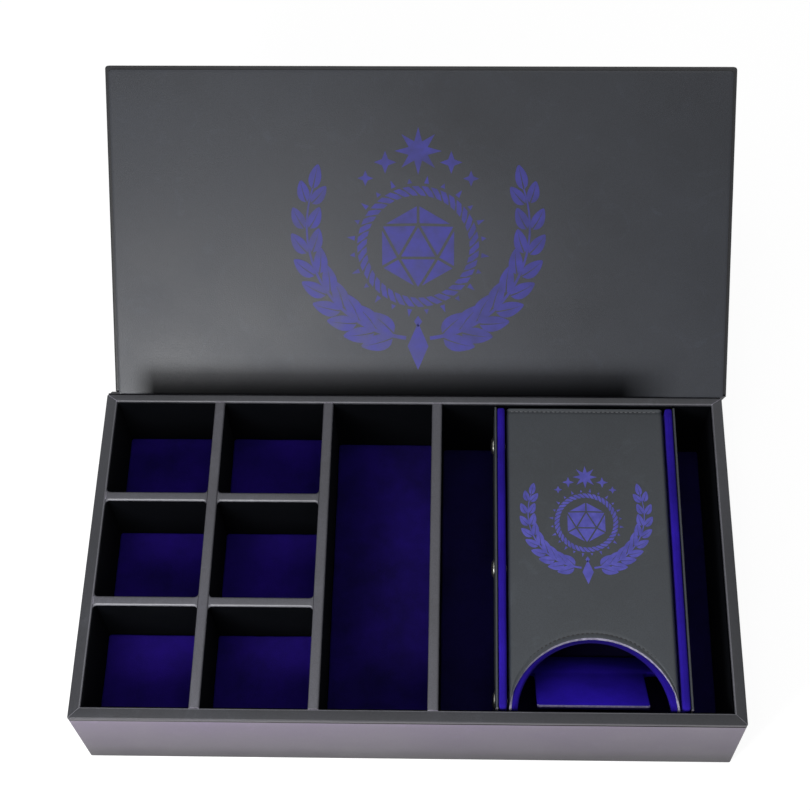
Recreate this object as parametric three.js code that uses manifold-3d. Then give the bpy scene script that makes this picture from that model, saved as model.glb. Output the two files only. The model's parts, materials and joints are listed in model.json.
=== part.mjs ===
// A leatherette presentation box with a dice tower lying in it, lid open.
// Millimetres, +Z up, origin at the middle of the case's underside, viewer on the -Y side.
import * as THREE from "three";
import { mergeVertices } from "three/addons/utils/BufferGeometryUtils.js";
import Module from "manifold-3d";

const wasm = await Module();
wasm.setup();

// Case
const caseWidth = 340;
const caseDepth = 184;
const caseHeight = 65;
const wallThickness = 6;
const rearWallThickness = 4.5;
const wrapThickness = 0.8;
const rimRadius = 1.2;
const coverThickness = 0.8;
const coverInset = 1.5;
const baseThickness = 3.2;
const liningThickness = 0.5;
const liningDrop = 1.5;

// Dividers and compartments
const dividerThickness = 5.5;
const rowDividerThickness = 5;
const dividerRadius = 1.2;
const rowDividerDrop = 0.5;
const smallColumns = 2;
const smallRows = 3;
const fingerRoomLeft = 28.8;
const fingerRoomRight = 20.2;

// Floor pads
const smallPadThickness = 18.2;
const longPadThickness = 12.3;
const bayPadThickness = 6.4;
const padMargin = 0.8;
const padRounding = 1.6;
const padCornerRadius = 2.5;

// Lid
const lidSideReveal = 1;
const lidSideShift = 3.5;
const lidFrontReveal = 4;
const lidBoardThickness = 3.6;
const lidWrapThickness = 0.6;
const lidLiningThickness = 0.6;
const lidLiningInset = 2;
const lidTurnIn = 14;
const lidRounding = 0.9;
const lidOpenAngle = THREE.MathUtils.degToRad(139);

// Hinge
const hingeClothThickness = 0.8;
const hingeClothReach = 25;
const spineThickness = 4;
const spineFoot = 2;
const spineRounding = 1;

// Dice tower, lying on its back: its height runs along Y
const towerWidth = 99;
const towerTopDrop = 0.4;
const towerEndGap = 1.1;
const skinThickness = 1.2;
const skinCornerRadius = 2.5;
const boardThickness = 4.1;
const boardRounding = 0.8;
const frontRecess = 1.2;
const frontSideGap = 1;
const frontRoll = 2.4;
const flapFootRoom = 16.5;
const archFlare = 0.4;
const archCentreBelowEnd = 6.1;
const archVelvetInset = 4.7;
const archVelvetCentreBelowEnd = 3.1;

// Ramps inside the tower
const rampThickness = 2.6;
const rampAngle = THREE.MathUtils.degToRad(45);
const exitLipInset = 4;
const exitLipDrop = 7;
const exitTongueInset = 14.4;
const exitHeadGap = 1.65;
const exitFilletRadius = 3;
const baffleReach = 18;
const upperRampPlaceShare = 0.72;
const middleRampPlaceShare = 0.02;

// Snap fasteners
const snapCount = 3;
const snapEndInset = 11.4;
const snapFlapInset = 6.5;
const snapCapRadius = 5.2;
const snapCapHeight = 1.6;
const snapShankRadius = 1.9;
const snapStudRadius = 4;
const snapStudHeight = 1.2;
const snapHoleClearance = 0.3;
// Radius and height along the cap's dome
const snapDomeShares = [
  [0.3, 0.98],
  [0.55, 0.9],
  [0.8, 0.68],
  [0.94, 0.42],
];

// Clearances
const fitGap = 0.3;
const mitreGap = 0.1;
const overrun = 5;

// Facets
const arcSteps = 4;
const archSteps = 40;
const roundSteps = 20;
const padSteps = 3;
const weldDistance = 1e-4;

// Worked out from the sizes above
const halfWidth = caseWidth / 2;
const halfDepth = caseDepth / 2;
const innerHalfWidth = halfWidth - wallThickness;
const innerHalfDepth = (caseDepth - wallThickness - rearWallThickness) / 2;
const interiorShift = (wallThickness - rearWallThickness) / 2;
const floorHeight = coverThickness + baseThickness;
const liningTop = caseHeight - liningDrop;
const liningFace = fitGap + liningThickness;
const bayWidth = fingerRoomLeft + towerWidth + fingerRoomRight;
const bayLeft = innerHalfWidth - bayWidth;
const columnPitch = (bayLeft + innerHalfWidth) / (smallColumns + 1);
const columnWidth = columnPitch - dividerThickness;
const rowClear = (2 * innerHalfDepth - (smallRows - 1) * rowDividerThickness) / smallRows;
const bayPadTop = floorHeight + bayPadThickness;

const leatherette = new THREE.MeshStandardMaterial({ color: 0x4a4b50, roughness: 0.55, metalness: 0 });
const rimLeatherette = new THREE.MeshStandardMaterial({ color: 0x545459, roughness: 0.5, metalness: 0 });
const towerLeatherette = new THREE.MeshStandardMaterial({ color: 0x4c4e51, roughness: 0.6, metalness: 0 });
const blueVelvet = new THREE.MeshStandardMaterial({ color: 0x1c0a6e, roughness: 1, metalness: 0 });
const blackVelvet = new THREE.MeshStandardMaterial({ color: 0x060609, roughness: 1, metalness: 0 });
const greyboard = new THREE.MeshStandardMaterial({ color: 0x8c8880, roughness: 0.9, metalness: 0 });
const nickel = new THREE.MeshStandardMaterial({ color: 0xc4c4c0, roughness: 0.3, metalness: 1 });

const model = new THREE.Group();
const lid = new THREE.Group();
model.add(lid);
// What lies between the walls is drawn about the middle of the space they leave
const interior = new THREE.Group();
interior.position.y = interiorShift;
model.add(interior);

// A closed three.js geometry as a solid, and back again
function solidOf(geometry) {
  const bare = geometry.clone();
  bare.deleteAttribute("normal");
  bare.deleteAttribute("uv");
  const merged = mergeVertices(bare, weldDistance);
  return new wasm.Manifold(
    new wasm.Mesh({
      numProp: 3,
      vertProperties: new Float32Array(merged.attributes.position.array),
      triVerts: new Uint32Array(merged.index.array),
    }),
  );
}

function addPiece(group, name, solid, material) {
  const mesh = solid.getMesh();
  const geometry = new THREE.BufferGeometry();
  geometry.setAttribute("position", new THREE.BufferAttribute(mesh.vertProperties, 3));
  geometry.setIndex(new THREE.BufferAttribute(mesh.triVerts, 1));
  geometry.computeVertexNormals();
  const piece = new THREE.Mesh(geometry, material);
  piece.name = name;
  group.add(piece);
}

// A shape drawn in (y, z), swept along X between two places
function sweepAlongX(shape, fromX, toX) {
  const geometry = new THREE.ExtrudeGeometry(shape, {
    depth: toX - fromX,
    bevelEnabled: false,
    curveSegments: arcSteps,
  });
  const yzToX = new THREE.Matrix4().makeBasis(
    new THREE.Vector3(0, 1, 0),
    new THREE.Vector3(0, 0, 1),
    new THREE.Vector3(1, 0, 0),
  );
  geometry.applyMatrix4(yzToX);
  geometry.translate(fromX, 0, 0);
  return solidOf(geometry);
}

// A shape drawn in (x, z), swept along Y between two places
function sweepAlongY(shape, fromY, toY) {
  const geometry = new THREE.ExtrudeGeometry(shape, {
    depth: toY - fromY,
    bevelEnabled: false,
    curveSegments: arcSteps,
  });
  geometry.rotateX(Math.PI / 2);
  geometry.translate(0, toY, 0);
  return solidOf(geometry);
}

// A shape drawn in (x, y), raised along Z between two heights
function raiseAlongZ(shape, fromZ, toZ, curveSegments = arcSteps) {
  const geometry = new THREE.ExtrudeGeometry(shape, {
    depth: toZ - fromZ,
    bevelEnabled: false,
    curveSegments,
  });
  geometry.translate(0, 0, fromZ);
  return solidOf(geometry);
}

function block(x0, x1, y0, y1, z0, z1) {
  const geometry = new THREE.BoxGeometry(x1 - x0, y1 - y0, z1 - z0);
  geometry.translate((x0 + x1) / 2, (y0 + y1) / 2, (z0 + z1) / 2);
  return solidOf(geometry);
}

// A rectangle with a radius of its own at the two lower and the two upper corners
function roundedShape(x0, x1, y0, y1, lowerRadius, upperRadius) {
  const shape = new THREE.Shape();
  const corner = (x, y, radius, quarter) => {
    const start = (quarter * Math.PI) / 2;
    if (radius > 0) shape.absarc(x, y, radius, start, start + Math.PI / 2, false);
  };
  shape.moveTo(x0 + lowerRadius, y0);
  shape.lineTo(x1 - lowerRadius, y0);
  corner(x1 - lowerRadius, y0 + lowerRadius, lowerRadius, -1);
  shape.lineTo(x1, y1 - upperRadius);
  corner(x1 - upperRadius, y1 - upperRadius, upperRadius, 0);
  shape.lineTo(x0 + upperRadius, y1);
  corner(x0 + upperRadius, y1 - upperRadius, upperRadius, 1);
  shape.lineTo(x0, y0 + lowerRadius);
  corner(x0 + lowerRadius, y0 + lowerRadius, lowerRadius, 2);
  return shape;
}

function polygon(points) {
  return new THREE.Shape(points.map(([a, b]) => new THREE.Vector2(a, b)));
}

// One case wall, board and wrap, drawn as the front wall, mitred to meet the thickness of the wall
// at its left and its right end, and turned to its side
function addWall(name, turn, halfLength, halfSpan, thickness, leftThickness, rightThickness) {
  const outer = -halfSpan;
  const inner = outer + thickness;
  const low = outer - overrun;
  const high = inner + overrun;
  const reach = (y, endThickness) =>
    halfLength - mitreGap - ((y - outer) * endThickness) / thickness;
  const mitre = polygon([
    [-reach(low, leftThickness), low],
    [reach(low, rightThickness), low],
    [reach(high, rightThickness), high],
    [-reach(high, leftThickness), high],
  ]);
  const mitreBlock = raiseAlongZ(mitre, -overrun, caseHeight + overrun);
  const wholeWrap = sweepAlongX(
    roundedShape(outer, inner, coverThickness, caseHeight, 0, rimRadius),
    -halfLength,
    halfLength,
  );
  const boardSpace = sweepAlongX(
    roundedShape(
      outer + wrapThickness,
      inner - wrapThickness,
      coverThickness - overrun,
      caseHeight - wrapThickness,
      0,
      rimRadius - wrapThickness,
    ),
    -halfLength - overrun,
    halfLength + overrun,
  );
  const board = sweepAlongX(
    roundedShape(
      outer + wrapThickness + fitGap,
      inner - wrapThickness - fitGap,
      coverThickness,
      caseHeight - wrapThickness - fitGap,
      0,
      0,
    ),
    -halfLength,
    halfLength,
  );
  const turned = (solid) => solid.rotate([0, 0, THREE.MathUtils.radToDeg(turn)]);
  addPiece(model, `${name}_wall_board`, turned(board.intersect(mitreBlock)), greyboard);
  const wrap = wholeWrap.subtract(boardSpace).intersect(mitreBlock);
  addPiece(model, `${name}_wall_wrap`, turned(wrap), rimLeatherette);
}

function addWalls() {
  const side = wallThickness;
  const rear = rearWallThickness;
  addWall("front", 0, halfWidth, halfDepth, wallThickness, side, side);
  addWall("right", Math.PI / 2, halfDepth, halfWidth, side, wallThickness, rear);
  addWall("rear", Math.PI, halfWidth, halfDepth, rear, side, side);
  addWall("left", -Math.PI / 2, halfDepth, halfWidth, side, rear, wallThickness);
}

function addLinings() {
  const face = innerHalfDepth - fitGap;
  const longReach = innerHalfWidth - fitGap;
  const shortReach = face - liningThickness - fitGap;
  const side = innerHalfWidth - fitGap;
  const lining = (name, x0, x1, y0, y1) =>
    addPiece(interior, `${name}_lining`, block(x0, x1, y0, y1, floorHeight, liningTop), blackVelvet);
  lining("front", -longReach, longReach, -face, -face + liningThickness);
  lining("rear", -longReach, longReach, face - liningThickness, face);
  lining("left", -side, -side + liningThickness, -shortReach, shortReach);
  lining("right", side - liningThickness, side, -shortReach, shortReach);
}

function addBase() {
  const cover = roundedShape(
    -halfWidth + coverInset,
    halfWidth - coverInset,
    -halfDepth + coverInset,
    halfDepth - coverInset,
    coverInset,
    coverInset,
  );
  addPiece(model, "base_cover", raiseAlongZ(cover, 0, coverThickness), leatherette);
  const reachX = innerHalfWidth - fitGap;
  const reachY = innerHalfDepth - fitGap;
  addPiece(
    interior,
    "base_board",
    block(-reachX, reachX, -reachY, reachY, coverThickness, floorHeight),
    greyboard,
  );
}

// A divider stands on the base board and is rebated at each end that meets a wall, to clear its lining
function dividerOutline(endA, endB, rebateA, rebateB, top) {
  const rebateTop = liningTop + fitGap;
  const a = endA + rebateA;
  const b = endB - rebateB;
  return polygon([
    [a, floorHeight],
    [b, floorHeight],
    [b, rebateTop],
    [endB, rebateTop],
    [endB, top],
    [endA, top],
    [endA, rebateTop],
    [a, rebateTop],
  ].filter(([u, v], i, all) => i === 0 || u !== all[i - 1][0] || v !== all[i - 1][1]));
}

function columnLeft(column) {
  return -innerHalfWidth + column * columnPitch;
}

function addDividers() {
  const end = innerHalfDepth - fitGap;
  const rebate = liningThickness + fitGap;
  for (let i = 0; i <= smallColumns; i++) {
    const x = columnLeft(i) + columnWidth;
    const top = sweepAlongY(
      roundedShape(x, x + dividerThickness, floorHeight, caseHeight, 0, dividerRadius),
      -end,
      end,
    );
    const side = sweepAlongX(
      dividerOutline(-end, end, rebate, rebate, caseHeight + overrun),
      x - overrun,
      x + dividerThickness + overrun,
    );
    addPiece(interior, `long_divider_${i + 1}`, top.intersect(side), rimLeatherette);
  }
  const rowTop = caseHeight - rowDividerDrop;
  for (let row = 1; row < smallRows; row++) {
    const y = innerHalfDepth - row * rowClear - row * rowDividerThickness;
    for (let column = 0; column < smallColumns; column++) {
      const x0 = columnLeft(column) + fitGap;
      const x1 = columnLeft(column) + columnWidth - fitGap;
      const top = sweepAlongX(
        roundedShape(y, y + rowDividerThickness, floorHeight, rowTop, 0, dividerRadius),
        x0,
        x1,
      );
      const side = sweepAlongY(
        dividerOutline(x0, x1, column === 0 ? rebate : 0, 0, rowTop + overrun),
        y - overrun,
        y + rowDividerThickness + overrun,
      );
      const place = ["rear", "front"][row - 1] ?? `row${row}`;
      const name = `${place}_row_divider_${column + 1}`;
      addPiece(interior, name, top.intersect(side), rimLeatherette);
    }
  }
}

// A velvet floor pad with softened edges
function padSolid(x0, x1, y0, y1, top) {
  const shape = roundedShape(
    x0 + padRounding,
    x1 - padRounding,
    y0 + padRounding,
    y1 - padRounding,
    padCornerRadius,
    padCornerRadius,
  );
  const geometry = new THREE.ExtrudeGeometry(shape, {
    depth: top - floorHeight - 2 * padRounding,
    bevelThickness: padRounding,
    bevelSize: padRounding,
    bevelSegments: padSteps,
    curveSegments: padSteps,
  });
  geometry.translate(0, 0, floorHeight + padRounding);
  return solidOf(geometry);
}

function addPads() {
  const wallSide = liningFace + padMargin;
  const frontEdge = -innerHalfDepth + wallSide;
  const rearEdge = innerHalfDepth - wallSide;
  for (let row = 0; row < smallRows; row++) {
    const rowRear = innerHalfDepth - row * (rowClear + rowDividerThickness);
    const y1 = row === 0 ? rearEdge : rowRear - padMargin;
    const y0 = row === smallRows - 1 ? frontEdge : rowRear - rowClear + padMargin;
    for (let column = 0; column < smallColumns; column++) {
      const x0 = columnLeft(column) + (column === 0 ? wallSide : padMargin);
      const x1 = columnLeft(column) + columnWidth - padMargin;
      const name = `small_pad_${row * smallColumns + column + 1}`;
      addPiece(interior, name, padSolid(x0, x1, y0, y1, floorHeight + smallPadThickness), blueVelvet);
    }
  }
  const longLeft = columnLeft(smallColumns) + padMargin;
  const longRight = columnLeft(smallColumns) + columnWidth - padMargin;
  addPiece(
    interior,
    "long_pad",
    padSolid(longLeft, longRight, frontEdge, rearEdge, floorHeight + longPadThickness),
    blueVelvet,
  );
  addPiece(
    interior,
    "bay_pad",
    padSolid(bayLeft + padMargin, innerHalfWidth - wallSide, frontEdge, rearEdge, bayPadTop),
    blueVelvet,
  );
}

// Lid, drawn shut about the hinge line: its y runs from 0 to -lidLength and its z up from the inner face
const halfLid = halfWidth - lidSideReveal;
const lidLength = caseDepth - lidFrontReveal;
const turnInFace = lidLiningThickness + fitGap;
const lidCavityBottom = turnInFace + lidWrapThickness;
const lidCavityTop = lidCavityBottom + lidBoardThickness + 2 * fitGap;
const lidTop = lidCavityTop + lidWrapThickness;
const lidClothTop = lidTop + fitGap + hingeClothThickness;
const lidRear = -hingeClothThickness - fitGap;

function addLid() {
  const acrossX = sweepAlongY(
    roundedShape(-halfLid, halfLid, turnInFace, lidTop, lidRounding, lidRounding),
    -lidLength,
    lidRear,
  );
  const acrossY = sweepAlongX(
    roundedShape(-lidLength, lidRear, turnInFace, lidTop, lidRounding, lidRounding),
    -halfLid,
    halfLid,
  );
  const cavity = block(
    -halfLid + lidWrapThickness,
    halfLid - lidWrapThickness,
    -lidLength + lidWrapThickness,
    lidRear - lidWrapThickness,
    lidCavityBottom,
    lidCavityTop,
  );
  const window = block(
    -halfLid + lidTurnIn,
    halfLid - lidTurnIn,
    -lidLength + lidTurnIn,
    lidRear - lidTurnIn,
    turnInFace - overrun,
    lidCavityBottom + fitGap,
  );
  addPiece(lid, "lid_wrap", acrossX.intersect(acrossY).subtract(cavity).subtract(window), leatherette);
  const edge = lidWrapThickness + fitGap;
  addPiece(
    lid,
    "lid_board",
    block(
      -halfLid + edge,
      halfLid - edge,
      -lidLength + edge,
      lidRear - edge,
      lidCavityBottom + fitGap,
      lidCavityTop - fitGap,
    ),
    greyboard,
  );
  const lining = roundedShape(
    -halfLid + lidLiningInset,
    halfLid - lidLiningInset,
    -lidLength + lidLiningInset,
    0,
    lidLiningInset,
    0,
  );
  addPiece(lid, "lid_lining", raiseAlongZ(lining, 0, lidLiningThickness), leatherette);
  const cloth = polygon([
    [-hingeClothThickness, turnInFace],
    [0, turnInFace],
    [0, lidClothTop],
    [-hingeClothReach, lidClothTop],
    [-hingeClothReach, lidTop + fitGap],
    [-hingeClothThickness, lidTop + fitGap],
  ]);
  addPiece(lid, "lid_hinge_cloth", sweepAlongX(cloth, -halfLid, halfLid), leatherette);
  lid.position.set(lidSideShift, halfDepth, caseHeight + fitGap);
  lid.rotation.x = -lidOpenAngle;
}

// The spine board stands where the open lid's wrapped edge comes down on it
function addSpine() {
  const restHeight = caseHeight + fitGap + lidClothTop * Math.cos(lidOpenAngle);
  const clothTop = restHeight - fitGap;
  const spineFace = halfDepth + fitGap;
  const spineTop = clothTop - hingeClothThickness - fitGap;
  const spineBack = spineFace + spineThickness;
  const clothBack = spineBack + fitGap + hingeClothThickness;
  const rearFaceTop = caseHeight - rimRadius;
  addPiece(
    model,
    "spine_board",
    sweepAlongX(
      roundedShape(spineFace, spineBack, spineFoot, spineTop, 0, spineRounding),
      -innerHalfWidth,
      innerHalfWidth,
    ),
    greyboard,
  );
  const cloth = new THREE.Shape();
  const bend = spineRounding + fitGap;
  cloth.moveTo(clothBack, spineFoot);
  cloth.lineTo(clothBack, clothTop - bend - hingeClothThickness);
  cloth.absarc(
    clothBack - bend - hingeClothThickness,
    clothTop - bend - hingeClothThickness,
    bend + hingeClothThickness,
    0,
    Math.PI / 2,
    false,
  );
  cloth.lineTo(spineFace + hingeClothThickness, clothTop);
  cloth.lineTo(spineFace + hingeClothThickness, rearFaceTop);
  cloth.lineTo(spineFace, rearFaceTop);
  cloth.lineTo(spineFace, clothTop - hingeClothThickness);
  cloth.lineTo(spineBack - spineRounding, clothTop - hingeClothThickness);
  cloth.absarc(
    spineBack - spineRounding,
    clothTop - hingeClothThickness - bend,
    bend,
    Math.PI / 2,
    0,
    true,
  );
  cloth.lineTo(spineBack + fitGap, spineFoot);
  addPiece(model, "case_hinge_cloth", sweepAlongX(cloth, -innerHalfWidth, innerHalfWidth), leatherette);
}

// Dice tower
const towerLeft = bayLeft + fingerRoomLeft;
const towerRight = towerLeft + towerWidth;
const towerCentre = (towerLeft + towerRight) / 2;
const towerEnd = innerHalfDepth - liningFace - towerEndGap;
const towerBack = bayPadTop + fitGap;
const towerTop = caseHeight - towerTopDrop;
const boardOuter = skinThickness + fitGap;
const sideInner = boardOuter + boardThickness;
const backInner = towerBack + boardOuter + boardThickness;
const frontTop = towerTop - frontRecess;
const frontBoardTop = frontTop - skinThickness - fitGap;
const frontBoardBottom = frontBoardTop - boardThickness;
const flapLeft = towerLeft + sideInner + frontSideGap;
const flapRight = towerRight - sideInner - frontSideGap;
const archRadius = (flapRight - flapLeft) / 2 + archFlare;
const exitTongueWidth = flapRight - flapLeft - 2 * exitTongueInset;
const flapBottom = backInner + flapFootRoom;
const snapHeight = flapBottom + snapFlapInset;

function snapPlaces() {
  const first = -towerEnd + snapEndInset;
  const pitch = (-2 * first) / (snapCount - 1);
  return Array.from({ length: snapCount }, (_, i) => first + i * pitch);
}

// Round holes for the snaps, through every layer between two places along X
function snapHoles(fromX, toX) {
  const radius = snapShankRadius + snapHoleClearance;
  return snapPlaces().map((y) => {
    const geometry = new THREE.CylinderGeometry(radius, radius, toX - fromX, roundSteps);
    geometry.rotateZ(Math.PI / 2);
    geometry.translate((fromX + toX) / 2, y, snapHeight);
    return solidOf(geometry);
  });
}

function cutAll(solid, cutters) {
  return cutters.reduce((rest, cutter) => rest.subtract(cutter), solid);
}

function addTowerBody() {
  const skinOuter = sweepAlongY(
    roundedShape(towerLeft, towerRight, towerBack, towerTop, skinCornerRadius, 0),
    -towerEnd,
    towerEnd,
  );
  const skinInner = sweepAlongY(
    roundedShape(
      towerLeft + skinThickness,
      towerRight - skinThickness,
      towerBack + skinThickness,
      towerTop + overrun,
      skinCornerRadius - skinThickness,
      0,
    ),
    -towerEnd - overrun,
    towerEnd + overrun,
  );
  const holes = snapHoles(towerLeft - overrun, towerLeft + sideInner + overrun).concat(
    snapHoles(towerRight - sideInner - overrun, towerRight + overrun),
  );
  addPiece(interior, "tower_skin", cutAll(skinOuter.subtract(skinInner), holes), towerLeatherette);

  const boardFoot = towerBack + boardOuter;
  const side = (x0) =>
    sweepAlongY(
      roundedShape(x0, x0 + boardThickness, boardFoot, towerTop, boardRounding, boardRounding),
      -towerEnd,
      towerEnd,
    );
  addPiece(interior, "tower_left_board", cutAll(side(towerLeft + boardOuter), holes), blueVelvet);
  addPiece(interior, "tower_right_board", cutAll(side(towerRight - sideInner), holes), blueVelvet);
  addPiece(
    interior,
    "tower_back_board",
    block(
      towerLeft + sideInner + fitGap,
      towerRight - sideInner - fitGap,
      -towerEnd,
      towerEnd,
      boardFoot,
      backInner,
    ),
    blueVelvet,
  );
}

function archCutter(radius, centreBelowEnd, fromZ) {
  const shape = new THREE.Shape();
  shape.absarc(towerCentre, -towerEnd - centreBelowEnd, radius, 0, 2 * Math.PI, false);
  return raiseAlongZ(shape, fromZ, towerTop + overrun, archSteps);
}

function addTowerFront() {
  const outer = roundedShape(flapLeft, flapRight, flapBottom, frontTop, 0, frontRoll);
  const inner = roundedShape(
    flapLeft + skinThickness,
    flapRight - skinThickness,
    flapBottom - overrun,
    frontTop - skinThickness,
    0,
    frontRoll - skinThickness,
  );
  const channel = sweepAlongY(outer, -towerEnd, towerEnd).subtract(
    sweepAlongY(inner, -towerEnd - overrun, towerEnd + overrun),
  );
  const flapHoles = snapHoles(flapLeft - overrun, flapLeft + overrun).concat(
    snapHoles(flapRight - overrun, flapRight + overrun),
  );
  const archFrom = frontBoardBottom - fitGap;
  addPiece(
    interior,
    "tower_front_skin",
    cutAll(channel.subtract(archCutter(archRadius, archCentreBelowEnd, archFrom)), flapHoles),
    towerLeatherette,
  );
  const board = sweepAlongY(
    roundedShape(
      flapLeft + skinThickness + fitGap,
      flapRight - skinThickness - fitGap,
      frontBoardBottom,
      frontBoardTop,
      0,
      boardRounding,
    ),
    -towerEnd,
    towerEnd,
  );
  const velvetArch = archCutter(archRadius - archVelvetInset, archVelvetCentreBelowEnd, archFrom - overrun);
  addPiece(interior, "tower_front_board", board.subtract(velvetArch), blueVelvet);
}

// A ramp is drawn flat in (x, s) and tilted about the X axis, s running up its slope
function addRamp(name, shape, angle, y, z) {
  const geometry = new THREE.ExtrudeGeometry(shape, {
    depth: rampThickness,
    bevelEnabled: false,
    curveSegments: arcSteps,
  });
  geometry.rotateX(angle);
  geometry.translate(0, y, z);
  addPiece(interior, name, solidOf(geometry), blueVelvet);
}

function addRamps() {
  // The exit ramp: full width at its head, where it stands between the sides, and narrow past the flaps
  const headHalf = towerWidth / 2 - sideInner - fitGap;
  const tongueHalf = exitTongueWidth / 2;
  const lipY = -towerEnd + exitLipInset;
  const lipZ = towerTop - exitLipDrop;
  const footZ = backInner + fitGap + rampThickness * Math.cos(rampAngle);
  const exitLength = (lipZ - footZ) / Math.sin(rampAngle);
  const exitHeadLength = (flapBottom - exitHeadGap - footZ) / Math.sin(rampAngle);
  const exit = new THREE.Shape();
  exit.moveTo(towerCentre - headHalf, 0);
  exit.lineTo(towerCentre + headHalf, 0);
  exit.lineTo(towerCentre + headHalf, exitHeadLength);
  exit.lineTo(towerCentre + tongueHalf + exitFilletRadius, exitHeadLength);
  exit.absarc(
    towerCentre + tongueHalf + exitFilletRadius,
    exitHeadLength + exitFilletRadius,
    exitFilletRadius,
    -Math.PI / 2,
    -Math.PI,
    true,
  );
  exit.lineTo(towerCentre + tongueHalf, exitLength);
  exit.lineTo(towerCentre - tongueHalf, exitLength);
  exit.absarc(
    towerCentre - tongueHalf - exitFilletRadius,
    exitHeadLength + exitFilletRadius,
    exitFilletRadius,
    0,
    -Math.PI / 2,
    true,
  );
  exit.lineTo(towerCentre - headHalf, exitHeadLength);
  const exitAngle = Math.PI - rampAngle;
  addRamp("exit_ramp", exit, exitAngle, lipY + exitLength * Math.cos(rampAngle), footZ);

  // The two baffles above it, clear of the snap studs: one stands on the back board
  // and the other hangs under the front board
  const studTip = skinThickness + fitGap + snapStudHeight;
  const baffleHalf = (flapRight - flapLeft) / 2 - studTip - fitGap;
  const baffleLength = baffleReach / Math.sin(rampAngle);
  const baffle = roundedShape(
    towerCentre - baffleHalf,
    towerCentre + baffleHalf,
    0,
    baffleLength,
    0,
    exitFilletRadius,
  );
  const upperY = (2 * upperRampPlaceShare - 1) * towerEnd;
  addRamp("upper_ramp", baffle, exitAngle, upperY, footZ);
  const middleY = middleRampPlaceShare * towerEnd;
  const hangZ = frontBoardBottom - fitGap - rampThickness * Math.cos(rampAngle);
  addRamp("middle_ramp", baffle, -exitAngle, middleY, hangZ);
}

// A snap's cap and shank outside, and its stud and post inside, turned about the X axis
function addSnaps() {
  const shankReach = sideInner + frontSideGap / 2;
  const capProfile = [
    [0, -snapCapHeight],
    ...snapDomeShares.map(([r, h]) => [r * snapCapRadius, -h * snapCapHeight]),
    [snapCapRadius, -fitGap],
    [snapShankRadius, -fitGap],
    [snapShankRadius, shankReach],
    [0, shankReach],
  ];
  const postStart = sideInner + frontSideGap / 2 + fitGap;
  const studFace = sideInner + frontSideGap + skinThickness + fitGap;
  const studProfile = [
    [0, postStart],
    [snapShankRadius, postStart],
    [snapShankRadius, studFace],
    [snapStudRadius, studFace],
    [snapStudRadius, studFace + snapStudHeight / 2],
    [snapStudRadius / 2, studFace + snapStudHeight],
    [0, studFace + snapStudHeight],
  ];
  const addTurned = (name, profile, wallX, inward) =>
    snapPlaces().forEach((y, i) => {
      const points = profile.map(([r, along]) => new THREE.Vector2(r, along));
      const geometry = new THREE.LatheGeometry(points, roundSteps);
      geometry.rotateZ((-inward * Math.PI) / 2);
      geometry.translate(wallX, y, snapHeight);
      addPiece(interior, `${name}_${i + 1}`, solidOf(geometry), nickel);
    });
  addTurned("left_snap_cap", capProfile, towerLeft, 1);
  addTurned("right_snap_cap", capProfile, towerRight, -1);
  addTurned("left_snap_stud", studProfile, towerLeft, 1);
  addTurned("right_snap_stud", studProfile, towerRight, -1);
}

addBase();
addWalls();
addLinings();
addDividers();
addPads();
addSpine();
addLid();
addTowerBody();
addTowerFront();
addRamps();
addSnaps();

export default model;
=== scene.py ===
import json
import math

import bmesh
import bpy
from mathutils import Matrix, Vector, noise


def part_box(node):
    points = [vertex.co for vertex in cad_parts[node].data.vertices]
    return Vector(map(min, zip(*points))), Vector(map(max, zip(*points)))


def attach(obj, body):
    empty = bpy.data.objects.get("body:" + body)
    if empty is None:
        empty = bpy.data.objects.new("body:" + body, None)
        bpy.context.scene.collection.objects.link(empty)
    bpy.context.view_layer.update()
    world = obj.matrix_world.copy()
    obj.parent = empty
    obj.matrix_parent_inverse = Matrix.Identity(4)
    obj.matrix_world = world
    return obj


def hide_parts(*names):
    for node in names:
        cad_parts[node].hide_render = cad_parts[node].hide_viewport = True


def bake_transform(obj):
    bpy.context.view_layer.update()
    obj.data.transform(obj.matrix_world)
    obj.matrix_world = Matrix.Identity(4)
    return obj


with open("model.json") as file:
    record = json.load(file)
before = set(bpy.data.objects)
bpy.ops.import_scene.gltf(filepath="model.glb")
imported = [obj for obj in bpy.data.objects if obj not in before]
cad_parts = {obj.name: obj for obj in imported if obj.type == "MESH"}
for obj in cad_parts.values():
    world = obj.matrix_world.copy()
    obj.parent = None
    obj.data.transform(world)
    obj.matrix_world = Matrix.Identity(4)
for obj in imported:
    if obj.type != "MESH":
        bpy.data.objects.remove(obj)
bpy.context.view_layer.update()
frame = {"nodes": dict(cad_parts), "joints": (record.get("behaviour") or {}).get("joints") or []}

mm = 0.001
hair = 0.01 * mm  # what counts as the same place when faces are told apart
noise.seed_set(1)  # so that every run comes out the same
scene = bpy.context.scene
sideNames = ("front", "right", "rear", "left")
lidJoint = next(joint for joint in frame["joints"] if joint["name"] == "lid_hinge")
hinge = Vector(lidJoint["pos_m"])
openAngle = math.radians(lidJoint["range_deg"][1])
lidPlace = Matrix.Translation(hinge) @ Matrix.Rotation(-openAngle, 4, "X")

# Camera, worked back from the corners of the case and lid in the photograph
view = {
    "place": (0.02764, -0.34974, 0.89268),
    "lookDown": 59.663,
    "turn": -2.414,
    "roll": -1.765,
    "focalPixels": 1695.78,
    "centrePixel": (427.61, 330.15),
    "framePixels": 810,
    "sensor": 36.0,
}


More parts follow.
